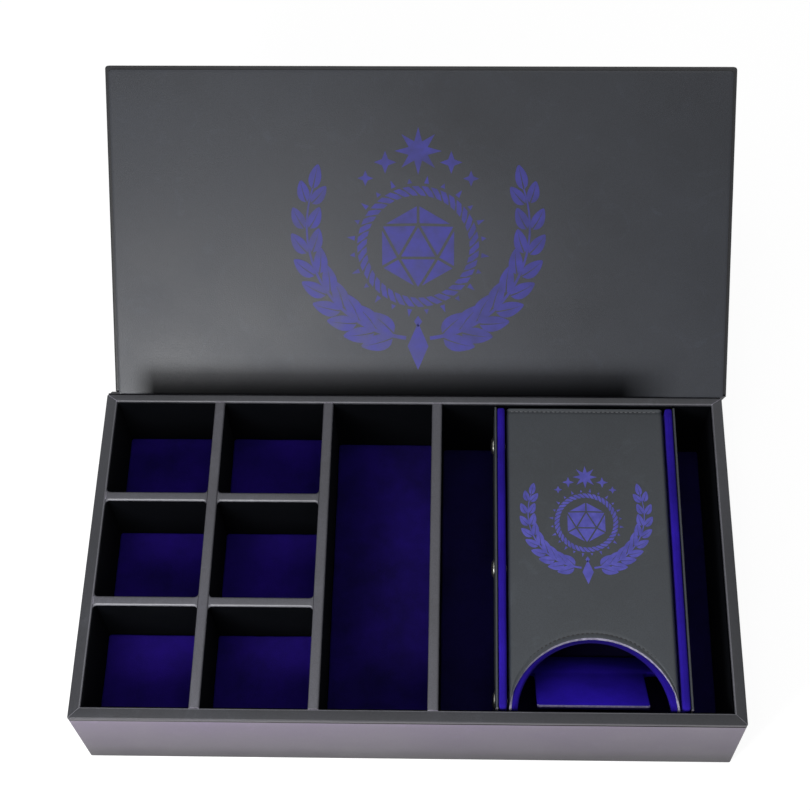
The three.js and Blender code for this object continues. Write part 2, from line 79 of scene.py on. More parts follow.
def addCamera():
    down, turn, roll = (math.radians(view[key]) for key in ("lookDown", "turn", "roll"))
    ahead = Vector((math.sin(turn) * math.cos(down), math.cos(turn) * math.cos(down), -math.sin(down)))
    level = Vector((math.cos(turn), -math.sin(turn), 0))
    upright = level.cross(ahead)
    right = level * math.cos(roll) + upright * math.sin(roll)
    up = upright * math.cos(roll) - level * math.sin(roll)
    data = bpy.data.cameras.new("photoCamera")
    data.sensor_width = view["sensor"]
    data.lens = view["focalPixels"] * view["sensor"] / view["framePixels"]
    half = view["framePixels"] / 2
    data.shift_x = (half - view["centrePixel"][0]) / view["framePixels"]
    data.shift_y = (view["centrePixel"][1] - half) / view["framePixels"]
    camera = bpy.data.objects.new("photoCamera", data)
    scene.collection.objects.link(camera)
    turned = Matrix((right, up, -ahead)).transposed().to_4x4()
    camera.matrix_world = Matrix.Translation(Vector(view["place"])) @ turned
    scene.camera = camera


addCamera()
print("camera placed")

# Materials. Colours are written as they look, 0 to 255, and turned into the renderer's own scale.


def shade(red, green, blue):
    def part(value):
        value = value / 255
        return value / 12.92 if value <= 0.04045 else ((value + 0.055) / 1.055) ** 2.4
    return (part(red), part(green), part(blue), 1.0)


def grey(level):
    return (level, level, level, 1)


def addNode(tree, kind, settings=None, **inputs):
    node = tree.nodes.new(kind)
    for key, value in (settings or {}).items():
        setattr(node, key, value)
    for key, value in inputs.items():
        socket = node.inputs[key.replace("_", " ")]
        if isinstance(value, bpy.types.NodeSocket):
            tree.links.new(value, socket)
        else:
            socket.default_value = value
    return node


def newMaterial(name):
    material = bpy.data.materials.new(name)
    material.use_nodes = True
    tree = material.node_tree
    place = addNode(tree, "ShaderNodeTexCoord").outputs["Object"]
    return material, tree, tree.nodes["Principled BSDF"], place


# Numbers that are the same all over a surface go straight on to its shader
def setShader(shader, **values):
    for key, value in values.items():
        shader.inputs[key.replace("_", " ")].default_value = value


def addNoise(tree, place, scale, detail, **inputs):
    node = addNode(tree, "ShaderNodeTexNoise", Vector=place, Scale=scale, Detail=detail, **inputs)
    return node.outputs["Fac"]


def ramp(tree, factor, span, darkColour, lightColour):
    node = addNode(tree, "ShaderNodeValToRGB", Fac=factor)
    for element, position, colour in zip(node.color_ramp.elements, span, (darkColour, lightColour)):
        element.position = position
        element.color = colour
    return node.outputs["Color"]


def rangeOf(tree, value, span, toSpan):
    return addNode(tree, "ShaderNodeMapRange", Value=value, From_Min=span[0], From_Max=span[1],
                   To_Min=toSpan[0], To_Max=toSpan[1]).outputs["Result"]


def multiplyColours(tree, first, second):
    node = addNode(tree, "ShaderNodeMix", {"data_type": "RGBA", "blend_type": "MULTIPLY"}, Factor=1)
    tree.links.new(first, node.inputs["A"])
    tree.links.new(second, node.inputs["B"])
    return node.outputs["Result"]


# A grey that changes along one direction, from stops of (share of the way, linear grey)
def fadeAlong(tree, place, fade):
    along = addNode(tree, "ShaderNodeVectorMath", {"operation": "DOT_PRODUCT"})
    tree.links.new(place, along.inputs[0])
    along.inputs[1].default_value = fade["axis"]
    share = rangeOf(tree, along.outputs["Value"], (fade["start"], fade["end"]), (0, 1))
    node = addNode(tree, "ShaderNodeValToRGB", Fac=share)
    elements = node.color_ramp.elements
    stops = fade["stops"]
    for element, (position, level) in zip(elements, (stops[0], stops[-1])):
        element.position = position
        element.color = grey(level)
    for position, level in stops[1:-1]:
        elements.new(position).color = grey(level)
    return node.outputs["Color"]


# Shade in the hollow by the hinge, deepest at the fold and fading out towards both ends
def foldShade(tree, place, fold):
    mix = addNode(tree, "ShaderNodeMix", {"data_type": "RGBA"})
    mix.inputs["A"].default_value = grey(1)
    tree.links.new(fadeAlong(tree, place, fold["side"]), mix.inputs["Factor"])
    tree.links.new(fadeAlong(tree, place, fold["depth"]), mix.inputs["B"])
    return mix.outputs["Result"]


# Leatherette: a fine pebble grain over larger soft mottling, with faint scuffs
def leatherMaterial(name, look):
    material, tree, shader, place = newMaterial(name)
    grain = look["grain"]
    cells = addNode(tree, "ShaderNodeTexVoronoi", {"feature": "SMOOTH_F1"}, Vector=place, Scale=1 / grain,
                    Smoothness=0.4).outputs["Distance"]
    fine = addNoise(tree, place, look["fineShare"] / grain, detail=3.0)
    mottle = addNoise(tree, place, look["mottleScale"], detail=5.0, Roughness=0.6)
    tone = ramp(tree, mottle, look["mottleSpan"], look["dark"], look["light"])
    crease = ramp(tree, cells, look["creaseSpan"], grey(1), grey(look["crease"]))
    tone = multiplyColours(tree, tone, crease)
    scuff = addNoise(tree, place, look["scuffScale"], detail=8.0, Roughness=0.7, Distortion=1.6)
    rubbed = ramp(tree, scuff, look["scuffSpan"], grey(look["unscuffed"]), grey(look["scuffed"]))
    tone = multiplyColours(tree, tone, rubbed)
    # Painted shade: the fades and the fold darken the colour, and dim the gloss with it
    shades = [fadeAlong(tree, place, look["fade"])] if "fade" in look else []
    if "fold" in look:
        shades.append(foldShade(tree, place, look["fold"]))
    for shadow in shades:
        tone = multiplyColours(tree, tone, shadow)
    if shades:
        dulled = shades[0] if len(shades) == 1 else multiplyColours(tree, *shades)
        gloss = rangeOf(tree, dulled, (0, 1), (0, look["gloss"]))
        tree.links.new(gloss, shader.inputs["Specular IOR Level"])
    tree.links.new(tone, shader.inputs["Base Color"])
    rough = rangeOf(tree, mottle, look["roughSpan"], (look["smooth"], look["rough"]))
    tree.links.new(rough, shader.inputs["Roughness"])
    setShader(shader, Specular_IOR_Level=look["gloss"], Coat_Weight=look["coat"],
              Coat_Roughness=look["coatRough"], Specular_Tint=look["tint"])
    height = addNode(tree, "ShaderNodeMath", {"operation": "MULTIPLY_ADD"})
    tree.links.new(cells, height.inputs[0])
    height.inputs[1].default_value = -1  # the grain sinks between its pebbles
    tree.links.new(fine, height.inputs[2])
    bump = addNode(tree, "ShaderNodeBump", Height=height.outputs[0], Strength=look["bump"],
                   Distance=grain * look["grainDepth"])
    wave = addNode(tree, "ShaderNodeBump", Height=mottle, Strength=look["ripple"],
                   Distance=look["rippleDepth"], Normal=bump.outputs["Normal"])
    tree.links.new(wave.outputs["Normal"], shader.inputs["Normal"])
    return material


# Velvet: short pile that brushes lighter and darker, with a soft sheen at the edges
def velvetMaterial(name, look):
    material, tree, shader, place = newMaterial(name)
    brushed = addNoise(tree, place, look["brushScale"], detail=6.0, Roughness=0.62)
    pile = addNoise(tree, place, look["pileScale"], detail=2.0)
    tone = ramp(tree, brushed, look["brushSpan"], look["dark"], look["light"])
    # Painted shade along a fade
    if "fade" in look:
        tone = multiplyColours(tree, tone, fadeAlong(tree, place, look["fade"]))
    fleck = ramp(tree, pile, look["pileSpan"], grey(look["pileShade"]), grey(1))
    tree.links.new(multiplyColours(tree, tone, fleck), shader.inputs["Base Color"])
    setShader(shader, Roughness=0.95, Specular_IOR_Level=look["gloss"], Sheen_Weight=look["sheen"],
              Sheen_Roughness=0.45, Sheen_Tint=look["sheenTint"])
    bump = addNode(tree, "ShaderNodeBump", Height=pile, Strength=0.5, Distance=look["pileDepth"])
    tree.links.new(bump.outputs["Normal"], shader.inputs["Normal"])
    return material


# Plain finishes: a tone that wanders a little, and a fine surface of its own
def plainMaterial(name, look):
    material, tree, shader, place = newMaterial(name)
    cloud = addNoise(tree, place, look["scale"], detail=4.0)
    tone = ramp(tree, cloud, look["span"], look["dark"], look["light"])
    tree.links.new(tone, shader.inputs["Base Color"])
    rough = rangeOf(tree, cloud, look["span"], (look["smooth"], look["rough"]))
    tree.links.new(rough, shader.inputs["Roughness"])
    setShader(shader, Metallic=look["metallic"])
    bump = addNode(tree, "ShaderNodeBump", Height=cloud, Strength=look["bump"], Distance=look["depth"])
    tree.links.new(bump.outputs["Normal"], shader.inputs["Normal"])
    return material


# Painted shade on the case's walls: darkest at the foot and lightest near the rim, with the gloss dimmed
# along with it
wallPaintedShade = {
    "axis": (0, 0, 1),
    "start": 0.0,
    "end": 65 * mm,
    "stops": [(0.0, 0.1), (0.15, 0.2), (0.3, 0.38), (0.6, 0.57), (0.85, 0.73), (1.0, 1.0)],
}
# and painted shade on the rim, darker and a little less glossy towards the front
rimPaintedShade = {
    "axis": (0, 1, 0),
    "start": -92 * mm,
    "end": 92 * mm,
    "stops": [(0.0, 0.62), (0.5, 0.66), (1.0, 0.9)],
}
# The lid's leather dips into the fold at the hinge, and painted shade darkens it there
upLid = lidPlace.to_3x3() @ Vector((0, -1, 0))
lidFoldPaintedShade = {
    "depth": {
        "axis": upLid,
        "start": upLid.dot(hinge),
        "end": upLid.dot(hinge) + 22 * mm,
        "stops": [(0.0, 0.035), (0.1, 0.06), (0.21, 0.11), (0.31, 0.18), (0.41, 0.26), (0.52, 0.36),
                  (0.62, 0.55), (0.73, 0.75), (0.83, 0.89), (1.0, 1.0)],
    },
    "side": {
        "axis": (1, 0, 0),
        "start": -160 * mm,
        "end": 160 * mm,
        "stops": [(0.0, 0.0), (0.012, 0.1), (0.05, 1.0), (0.86, 1.0), (0.96, 0.0)],
    },
}
# and painted shade makes it darker towards the far right corner
farRight = Vector((0.5, 0, 0)) + upLid * 0.87
lidPaintedShade = {
    "axis": farRight,
    "start": farRight.dot(hinge),
    "end": farRight.dot(hinge) + 220 * mm,
    "stops": [(0.0, 1.0), (0.45, 1.0), (0.65, 0.9), (1.0, 0.86)],
}
# Painted shade on the velvet round the exit: brightest at the tower's end, darker towards the top of the arch
archPaintedShade = {
    "axis": (0, 1, 0),
    "start": -84 * mm,
    "end": -46 * mm,
    "stops": [(0.0, 1.0), (0.45, 0.8), (1.0, 0.36)],
}
leatherCommon = {
    "grain": 0.55 * mm, "grainDepth": 0.2, "fineShare": 3.2, "bump": 0.35,
    "mottleScale": 14.0, "mottleSpan": (0.3, 0.72), "ripple": 0.06, "rippleDepth": 1.0 * mm,
    "creaseSpan": (0.1, 0.75), "crease": 0.72,
    "scuffScale": 45.0, "scuffSpan": (0.56, 0.72), "unscuffed": 0.9, "scuffed": 1.25,
    "roughSpan": (0.3, 0.7), "smooth": 0.4, "rough": 0.52,
    "coat": 0.0, "coatRough": 0.4, "tint": (1, 1, 1, 1),
}
leatherLooks = {
    "caseLeather": {"dark": shade(36, 36, 40), "light": shade(46, 46, 51), "gloss": 0.45},
    "rimLeather": {"dark": shade(55, 56, 61), "light": shade(69, 70, 76), "gloss": 0.5, "fade": rimPaintedShade},
    # The walls' outer face: the wrap's own leather, painted lighter and lavender for the reflection it shows,
    # with a lavender tint on its gloss
    "wallLeather": {"dark": shade(78, 65, 91), "light": shade(94, 79, 111), "gloss": 1.0, "coat": 0.3,
                    "tint": shade(245, 224, 255), "fade": wallPaintedShade},
    "dividerLeather": {"dark": shade(66, 66, 72), "light": shade(80, 80, 88), "gloss": 0.5},
    # Painted highlight: a lighter copy of the rim's leather on the rim's inner rolled edge
    "innerEdgeLeather": {"dark": shade(76, 76, 82), "light": shade(100, 100, 108), "gloss": 0.6},
    # Painted highlight on the dividers' rolled front edges
    "edgeLeather": {"dark": shade(94, 94, 100), "light": shade(122, 122, 130), "gloss": 0.7},
    "lipLeather": {"dark": shade(56, 54, 61), "light": shade(70, 67, 75), "gloss": 0.6},
    # Painted shade: a dark copy of the wrap's leather in the groove under the rim
    "grooveLeather": {"dark": shade(26, 25, 29), "light": shade(36, 35, 40), "gloss": 0.3},
    "lidLeather": {"dark": shade(30, 34, 43), "light": shade(42, 46, 55), "gloss": 0.48, "fold": lidFoldPaintedShade,
                   "fade": lidPaintedShade, "ripple": 0.12},
    # Painted shade: a darker copy of the cover's leather on the lid's turn-in and inner rounded edge
    "lidEdgeLeather": {"dark": shade(17, 18, 22), "light": shade(27, 28, 33), "gloss": 0.4},
    "towerLeather": {"dark": shade(43, 48, 54), "light": shade(54, 59, 65), "gloss": 0.45},
}
brightSheen = shade(90, 70, 220)
velvetCommon = {
    "brushScale": 34.0, "brushSpan": (0.3, 0.75),
    "pileScale": 2600.0, "pileSpan": (0.3, 0.7), "pileShade": 0.72, "pileDepth": 0.25 * mm,
    "gloss": 0.1, "sheenTint": shade(60, 40, 200),
}
velvetLooks = {
    "blueVelvet": {"dark": shade(28, 12, 122), "light": shade(44, 22, 164), "gloss": 0.15, "sheen": 0.12,
                   "sheenTint": brightSheen},
    # Painted light: a brighter copy of the blue velvet for the ramps inside the tower
    "rampVelvet": {"dark": shade(33, 14, 148), "light": shade(47, 21, 194), "sheen": 0.12,
                   "sheenTint": brightSheen},
    "archVelvet": {"dark": shade(28, 12, 122), "light": shade(44, 22, 164), "sheen": 0.1,
                   "sheenTint": brightSheen, "fade": archPaintedShade},
    # Painted shade: a darker copy of the blue velvet for the tower's back board
    "innerVelvet": {"dark": shade(11, 7, 36), "light": shade(18, 11, 52), "sheen": 0.04},
    # Painted shade: a darker copy of the pads' velvet for the bay under the tower and the lower half of the
    # exit ramp's end
    "bayVelvet": {"dark": shade(14, 9, 52), "light": shade(22, 14, 74), "sheen": 0.06},
    "floorVelvet": {"dark": shade(22, 9, 86), "light": shade(37, 15, 128), "sheen": 0.09},
    # Painted shade: a darker copy of the pads' velvet for the long pad
    "longVelvet": {"dark": shade(16, 7, 64), "light": shade(30, 13, 106), "sheen": 0.08},
    "blackVelvet": {"dark": shade(2, 3, 5), "light": shade(5, 6, 9), "gloss": 0.04, "sheen": 0.005,
                    "sheenTint": shade(120, 120, 150)},
}
plainCommon = {
    "span": (0.3, 0.7), "scale": 700.0, "smooth": 0.6, "rough": 0.8, "bump": 0.3, "depth": 0.1 * mm,
    "metallic": 0.0,
}
plainLooks = {
    "greyBoard": {"dark": shade(116, 112, 106), "light": shade(140, 136, 128), "scale": 900.0,
                  "smooth": 0.85, "rough": 0.95, "bump": 0.4},
    "rawEdge": {"dark": shade(104, 100, 112), "light": shade(150, 146, 160)},
    "cutEdge": {"dark": shade(104, 100, 120), "light": shade(160, 156, 176), "scale": 500.0},
    "rampEdge": {"dark": shade(108, 102, 140), "light": shade(140, 133, 170), "smooth": 0.7, "rough": 0.9},
    "seamEdge": {"dark": shade(70, 70, 76), "light": shade(104, 104, 110)},
    "nickel": {"dark": shade(150, 150, 144), "light": shade(186, 186, 180), "scale": 1200.0,
               "smooth": 0.26, "rough": 0.4, "bump": 0.08, "metallic": 1.0},
    "thread": {"dark": shade(70, 71, 74), "light": shade(104, 104, 108), "scale": 4200.0, "bump": 0.5},
    # Painted shade: a dark copy of the thread for the stitches round the arch
    "archThread": {"dark": shade(12, 12, 14), "light": shade(28, 28, 32), "scale": 4200.0, "bump": 0.5},
    # Painted shade: dark discs stand for the needle holes
    "needleHole": {"dark": shade(14, 14, 15), "light": shade(26, 26, 28), "scale": 2000.0,
                   "smooth": 0.8, "rough": 0.95, "bump": 0.2},
    "lidPrint": {"dark": shade(24, 24, 96), "light": shade(42, 40, 130), "scale": 130.0,
                 "smooth": 0.42, "rough": 0.58, "bump": 0.15},
    "towerPrint": {"dark": shade(54, 54, 138), "light": shade(80, 78, 172), "scale": 260.0,
                   "smooth": 0.45, "rough": 0.6, "bump": 0.15},
}
finish = {}
for make, common, looks in ((leatherMaterial, leatherCommon, leatherLooks),
                            (velvetMaterial, velvetCommon, velvetLooks),
                            (plainMaterial, plainCommon, plainLooks)):
    for name, look in looks.items():
        finish[name] = make(name, common | look)
print("materials made")

# Mesh helpers. A row is a list of points, and rows of the same length are joined into a skin.


def skin(bm, rows, material=0, closeRows=False, closeColumns=False):
    grid = [[bm.verts.new(point) for point in row] for row in rows]
    height, width = len(grid), len(grid[0])
    for i in range(height if closeRows else height - 1):
        for j in range(width if closeColumns else width - 1):
            here, across = grid[i], grid[(i + 1) % height]
            face = bm.faces.new((here[j], here[(j + 1) % width], across[(j + 1) % width], across[j]))
            face.material_index = material(i, j) if callable(material) else material
    return grid


def cap(bm, corners, material=0):
    face = bm.faces.new(corners)
    face.material_index = material


# A closed body from loops of the same number of points, one after another
def closedSkin(bm, loops, material=0):
    grid = skin(bm, loops, material, closeColumns=True)
    ends = 0 if callable(material) else material
    cap(bm, list(reversed(grid[0])), ends)
    cap(bm, grid[-1], ends)


def makePiece(name, bm, body, finishes, sharp=38):
    bmesh.ops.remove_doubles(bm, verts=bm.verts, dist=1e-7)
    bmesh.ops.recalc_face_normals(bm, faces=bm.faces)
    mesh = bpy.data.meshes.new(name)
    bm.to_mesh(mesh)
    bm.free()
    for material in finishes:
        mesh.materials.append(finish[material])
    mesh.shade_smooth()
    mesh.set_sharp_from_angle(angle=math.radians(sharp))
    piece = bpy.data.objects.new(name, mesh)
    scene.collection.objects.link(piece)
    if body:
        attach(piece, body)
    return piece


# A solid of the frame that keeps its own shape and takes a finish
def dress(node, material):
    mesh = frame["nodes"][node].data
    mesh.materials.clear()
    mesh.materials.append(finish[material])


# The box round a list of points
def around(points):
    points = list(points)
    low = Vector(min(point[i] for point in points) for i in range(3))
    high = Vector(max(point[i] for point in points) for i in range(3))
    return low, high


# Turns in radians, evenly spaced from one number of degrees to another
def turnsFrom(start, end, steps):
    return [math.radians(start + (end - start) * i / steps) for i in range(steps + 1)]


def arc(centre, radius, start, end, steps):
    return [(centre[0] + radius * math.cos(turn), centre[1] + radius * math.sin(turn))
            for turn in turnsFrom(start, end, steps)]


def spread(start, end, spacing):
    count = max(1, math.ceil(abs(end - start) / spacing))
    return [start + (end - start) * i / count for i in range(count + 1)]


# A rounded rectangle as one loop, with the same number of points whatever its size
def roundLoop(x0, x1, y0, y1, radius, cornerSteps, sideSteps, farRadius=None):
    least = 1e-6
    near = max(min(radius, (x1 - x0) / 2, (y1 - y0) / 2), least)
    far = near if farRadius is None else max(min(farRadius, near), least)
    corners = (
        ((x1 - near, y0 + near), near, -90),
        ((x1 - far, y1 - far), far, 0),
        ((x0 + far, y1 - far), far, 90),
        ((x0 + near, y0 + near), near, 180),
    )
    arcs = [arc(centre, turned, start, start + 90, cornerSteps) for centre, turned, start in corners]
    loop = []
    for i, turned in enumerate(arcs):
        loop += turned
        target = arcs[(i + 1) % 4][0]
        for k in range(1, sideSteps):
            share = k / sideSteps
            loop.append(tuple(a + (b - a) * share for a, b in zip(turned[-1], target)))
    return loop


softScale = 90  # how quickly a soft box's sides wander


# A box with soft edges, its loops stacked along one axis
def softBox(bm, low, high, radius, axis=1, spacing=12 * mm, wander=0.0, material=0):
    across, upward = [i for i in range(3) if i != axis]
    edge = [(radius * (1 - math.cos(turn)), radius * (1 - math.sin(turn))) for turn in turnsFrom(0, 90, 4)]
    stops = [(low[axis] + step, inset) for step, inset in edge]
    stops += [(place, 0.0) for place in spread(low[axis] + radius, high[axis] - radius, spacing)[1:-1]]
    stops += [(high[axis] - step, inset) for step, inset in reversed(edge)]
    loops = []
    for place, inset in stops:
        flat = roundLoop(
            low[across] + inset, high[across] - inset, low[upward] + inset, high[upward] - inset,
            radius - inset + hair, cornerSteps=4, sideSteps=3,
        )
        loop = []
        for a, b in flat:
            point = Vector((0, 0, 0))
            point[axis], point[across], point[upward] = place, a, b
            drift = noise.noise_vector(point * softScale) * wander
            drift[axis] = 0
            loop.append(point - drift)
        loops.append(loop)
    closedSkin(bm, loops, material)


# A narrow raised strip along a path, such as the cut edge of a folded cover
def ribbon(bm, path, across, width, height, material=0):
    rows = []
    for i, point in enumerate(path):
        ahead = path[min(i + 1, len(path) - 1)] - path[max(i - 1, 0)]
        up = ahead.cross(across).normalized()
        if up.z < 0:
            up = -up
        rows.append([
            point - across * width / 2 - up * height,
            point - across * width * 0.35 + up * height,
            point + across * width * 0.35 + up * height,
            point + across * width / 2 - up * height,
        ])
    closedSkin(bm, rows, material)


# Studio: pale floor, a small soft key low in front and to the left, a soft fill overhead and an even sky
studio = {
    "floorSize": 9.0,
    "floorDrop": 0.2 * mm,
    "floorTone": (0.25, 0.25, 0.25, 1),
    "floorGlow": 0.88,
    "sky": 0.36,
    "key": {"place": (-0.21, -0.34, 0.31), "aim": (-0.02, 0.05, 0.08), "size": 0.2, "power": 2.4},
    "fill": {"place": (0.05, -0.1, 1.5), "aim": (0.04, -0.08, 0), "size": 0.8, "power": 3.5},
}


# 1 for a ray from the camera, or one that a mirror or glass sends on, and 0 for the rays that light
def seenRays(tree):
    path = addNode(tree, "ShaderNodeLightPath")
    seen = path.outputs["Is Camera Ray"]
    for kind in ("Is Glossy Ray", "Is Transmission Ray"):
        either = addNode(tree, "ShaderNodeMath", {"operation": "MAXIMUM"})
        tree.links.new(seen, either.inputs[0])
        tree.links.new(path.outputs[kind], either.inputs[1])
        seen = either.outputs[0]
    return seen


def addFloor():
    size, drop = studio["floorSize"] / 2, studio["floorDrop"]
    corners = ((-size, -size), (size, -size), (size, size), (-size, size))
    bm = bmesh.new()
    cap(bm, [bm.verts.new((x, y, -drop)) for x, y in corners])
    mesh = bpy.data.meshes.new("floor")
    bm.to_mesh(mesh)
    bm.free()
    floor = bpy.data.objects.new("floor", mesh)
    scene.collection.objects.link(floor)
    material = bpy.data.materials.new("paleFloor")
    material.use_nodes = True
    tree = material.node_tree
    tree.nodes.clear()
    paint = addNode(tree, "ShaderNodeBsdfDiffuse", Color=studio["floorTone"])
    strength = rangeOf(tree, seenRays(tree), (0, 1), (0, studio["floorGlow"]))
    glow = addNode(tree, "ShaderNodeEmission", Strength=strength)
    both = addNode(tree, "ShaderNodeAddShader")
    tree.links.new(paint.outputs[0], both.inputs[0])
    tree.links.new(glow.outputs[0], both.inputs[1])
    addNode(tree, "ShaderNodeOutputMaterial", Surface=both.outputs[0])
    mesh.materials.append(material)


def addSky():
    world = bpy.data.worlds.new("softSky")
    world.use_nodes = True
    scene.world = world
    tree = world.node_tree
    tree.nodes.clear()
    background = addNode(tree, "ShaderNodeBackground", Color=(1, 1, 1, 1))
    strength = rangeOf(tree, seenRays(tree), (0, 1), (studio["sky"], 1.0))
    tree.links.new(strength, background.inputs["Strength"])
    addNode(tree, "ShaderNodeOutputWorld", Surface=background.outputs[0])


def addLamp(name):
    lamp = studio[name]
    data = bpy.data.lights.new(name, "AREA")
    data.size = lamp["size"]
    data.energy = lamp["power"]
    light = bpy.data.objects.new(name, data)
    scene.collection.objects.link(light)
    toward = Vector(lamp["aim"]) - Vector(lamp["place"])
    turned = toward.to_track_quat("-Z", "Y").to_matrix().to_4x4()
    light.matrix_world = Matrix.Translation(lamp["place"]) @ turned


addFloor()
addSky()
addLamp("key")
addLamp("fill")
scene.view_settings.view_transform = "Standard"
print("studio lit")

# Case cover: one leatherette wrap folded over all four walls, mitred on the rim
caseWrap = {
    "rimRadius": 0.75 * mm,
    "cornerRadius": 1.0 * mm,
    "grooveDrop": 2.5 * mm,  # a shallow groove runs round under the rim
    "grooveWidth": 1.5 * mm,
    "grooveDepth": 0.45 * mm,
    "grooveSlopes": (0.2 * mm, 0.1 * mm),
    "leather": 0.8 * mm,
    "spacing": 7 * mm,
    "wander": 0.07 * mm,
    "wanderScale": 55,
    "sinkScale": 40,
    "topZone": 2 * mm,
    "edgeZone": 1 * mm,
    "seamWidth": 0.32 * mm,
    "seamHeight": 0.09 * mm,
}
wallNodes = [side + "_wall_wrap" for side in sideNames]
caseLow, caseHigh = around(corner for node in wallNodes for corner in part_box(node))
halfWidth, halfDepth = (caseHigh.x - caseLow.x) / 2, (caseHigh.y - caseLow.y) / 2
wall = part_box("left_wall_wrap")[1].x - caseLow.x
rearWall = caseHigh.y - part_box("rear_wall_wrap")[0].y
rimHeight = caseHigh.z
grooveTop = rimHeight - caseWrap["grooveDrop"]
grooveFoot = grooveTop - caseWrap["grooveWidth"]


# Depth into the wall and height, up the outer face, over the rim and round the back of the leather
def rimProfile():
    radius, leather, foot = caseWrap["rimRadius"], caseWrap["leather"], caseLow.z
    grooveDepth, slopes = caseWrap["grooveDepth"], caseWrap["grooveSlopes"]
    profile = [(0.0, z) for z in spread(foot, grooveFoot, 12 * mm)]
    profile += [(grooveDepth, grooveFoot + slopes[0]), (grooveDepth, grooveTop - slopes[1])]
    profile += [(0.0, grooveTop)]
    profile += arc((radius, rimHeight - radius), radius, 180, 90, 6)
    profile += arc((wall - radius, rimHeight - radius), radius, 90, 0, 6)
    inner = rimHeight - leather
    profile += [(wall, foot), (wall - leather, foot), (wall - leather, inner)]
    return profile + [(leather, inner), (leather, foot)]


# The rear wall is thinner: what lies past the middle of the others' thickness comes nearer its outer face
def wallDepth(depth, sy):
    return depth - (wall - rearWall) if sy > 0 and depth > wall / 2 else depth


# Where a depth into the wall lies, at one turn round a corner
def atCorner(depth, sx, sy, turn):
    radius = caseWrap["cornerRadius"]
    centre = Vector((sx * (halfWidth - radius), sy * (halfDepth - radius)))
    if depth < radius:
        return centre + Vector((math.cos(turn), math.sin(turn))) * (radius - depth)
    return centre - Vector((sx * (depth - radius), sy * (wallDepth(depth, sy) - radius)))


# and at one place along a side
def onSide(depth, sx, sy, place, alongY):
    if alongY:
        return Vector((sx * (halfWidth - depth), place))
    return Vector((place, sy * (halfDepth - wallDepth(depth, sy))))


def rimStops():
    front, rear, side = wall - halfDepth, halfDepth - rearWall, halfWidth - wall
    corners = (
        (1, -1, -90, (front, rear)), (1, 1, 0, (side, -side)),
        (-1, 1, 90, (rear, front)), (-1, -1, 180, (-side, side)),
    )
    stops = []
    for k, (sx, sy, start, reach) in enumerate(corners):
        stops += [(atCorner, sx, sy, turn) for turn in turnsFrom(start, start + 90, 6)]
        stops += [(onSide, sx, sy, place, k % 2 == 0) for place in spread(*reach, caseWrap["spacing"])]
    return stops


def addCaseWrap():
    profile = rimProfile()
    rows = []
    for where, *details in rimStops():
        row = []
        for depth, z in profile:
            flat = where(depth, *details)
            point = Vector((flat.x, flat.y, z))
            drift = abs(noise.noise(point * caseWrap["wanderScale"]) * caseWrap["wander"])
            inward = Vector((-flat.x, -flat.y, 0)).normalized() * drift
            sink = 0.0
            if z > rimHeight - caseWrap["topZone"]:
                spot = point * caseWrap["sinkScale"] + Vector((3, 7, 1))
                sink = abs(noise.noise(spot) * caseWrap["wander"])
            row.append(point + inward + Vector((0, 0, -sink)))
        rows.append(row)
    innerEdge = wall - caseWrap["rimRadius"]

    # rim 0, wall 1 with painted reflection and shade, inner edge 2 with painted highlight, lip 3, groove 4
    # with painted shade
    def bandOf(i, j):
        depth, z = profile[j]
        if depth < caseWrap["grooveDepth"] + 5 * hair and z < grooveTop - hair:
            return 1 if z < grooveFoot - hair else 4
        if depth < 0.2 * mm:
            return 3
        return 2 if innerEdge - hair <= depth < wall and z > rimHeight - caseWrap["edgeZone"] else 0
    bm = bmesh.new()
    skin(bm, rows, bandOf, closeRows=True, closeColumns=True)
    leathers = ["rimLeather", "wallLeather", "innerEdgeLeather", "lipLeather", "grooveLeather"]
    piece = makePiece("case_wrap", bm, "case", leathers)
    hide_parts(*wallNodes)


def addMitreSeams():
    radius, corner = caseWrap["rimRadius"], caseWrap["cornerRadius"]
    diagonal = math.sqrt(0.5)
    rimFoot = rimHeight - radius - hair / 10
    overRim = [(depth, z) for depth, z in rimProfile() if z > rimFoot and 0 <= depth <= wall]
    bm = bmesh.new()
    for sx, sy in ((1, -1), (1, 1), (-1, 1), (-1, -1)):
        path = []
        for depth, z in overRim:
            inset = depth if depth > corner else corner * (1 - diagonal) + depth * diagonal
            path.append(Vector((sx * (halfWidth - inset), sy * (halfDepth - wallDepth(inset, sy)), z)))
        side = Vector((sx * (rearWall if sy > 0 else wall), -sy * wall, 0)).normalized()
        ribbon(bm, path, side, caseWrap["seamWidth"], caseWrap["seamHeight"], material=1 if sy > 0 else 0)
    piece = makePiece("mitre_seams", bm, "case", ["seamEdge", "rawEdge"])


addCaseWrap()
addMitreSeams()
for side in sideNames:
    dress(side + "_wall_board", "greyBoard")
dress("base_cover", "caseLeather")
dress("base_board", "blackVelvet")
dress("spine_board", "greyBoard")
dress("lid_board", "greyBoard")

# Velvet cards on the inner faces of the walls
lining = {"edge": 0.2 * mm, "wander": 0.05 * mm}
for side in sideNames:
    bm = bmesh.new()
    low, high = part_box(side + "_lining")
    axis = 0 if side in ("front", "rear") else 1
    softBox(bm, low, high, lining["edge"], axis=axis, wander=lining["wander"])
    piece = makePiece(side + "_velvet_card", bm, "case", ["blackVelvet"], sharp=60)
    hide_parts(side + "_lining")
print("case covered")

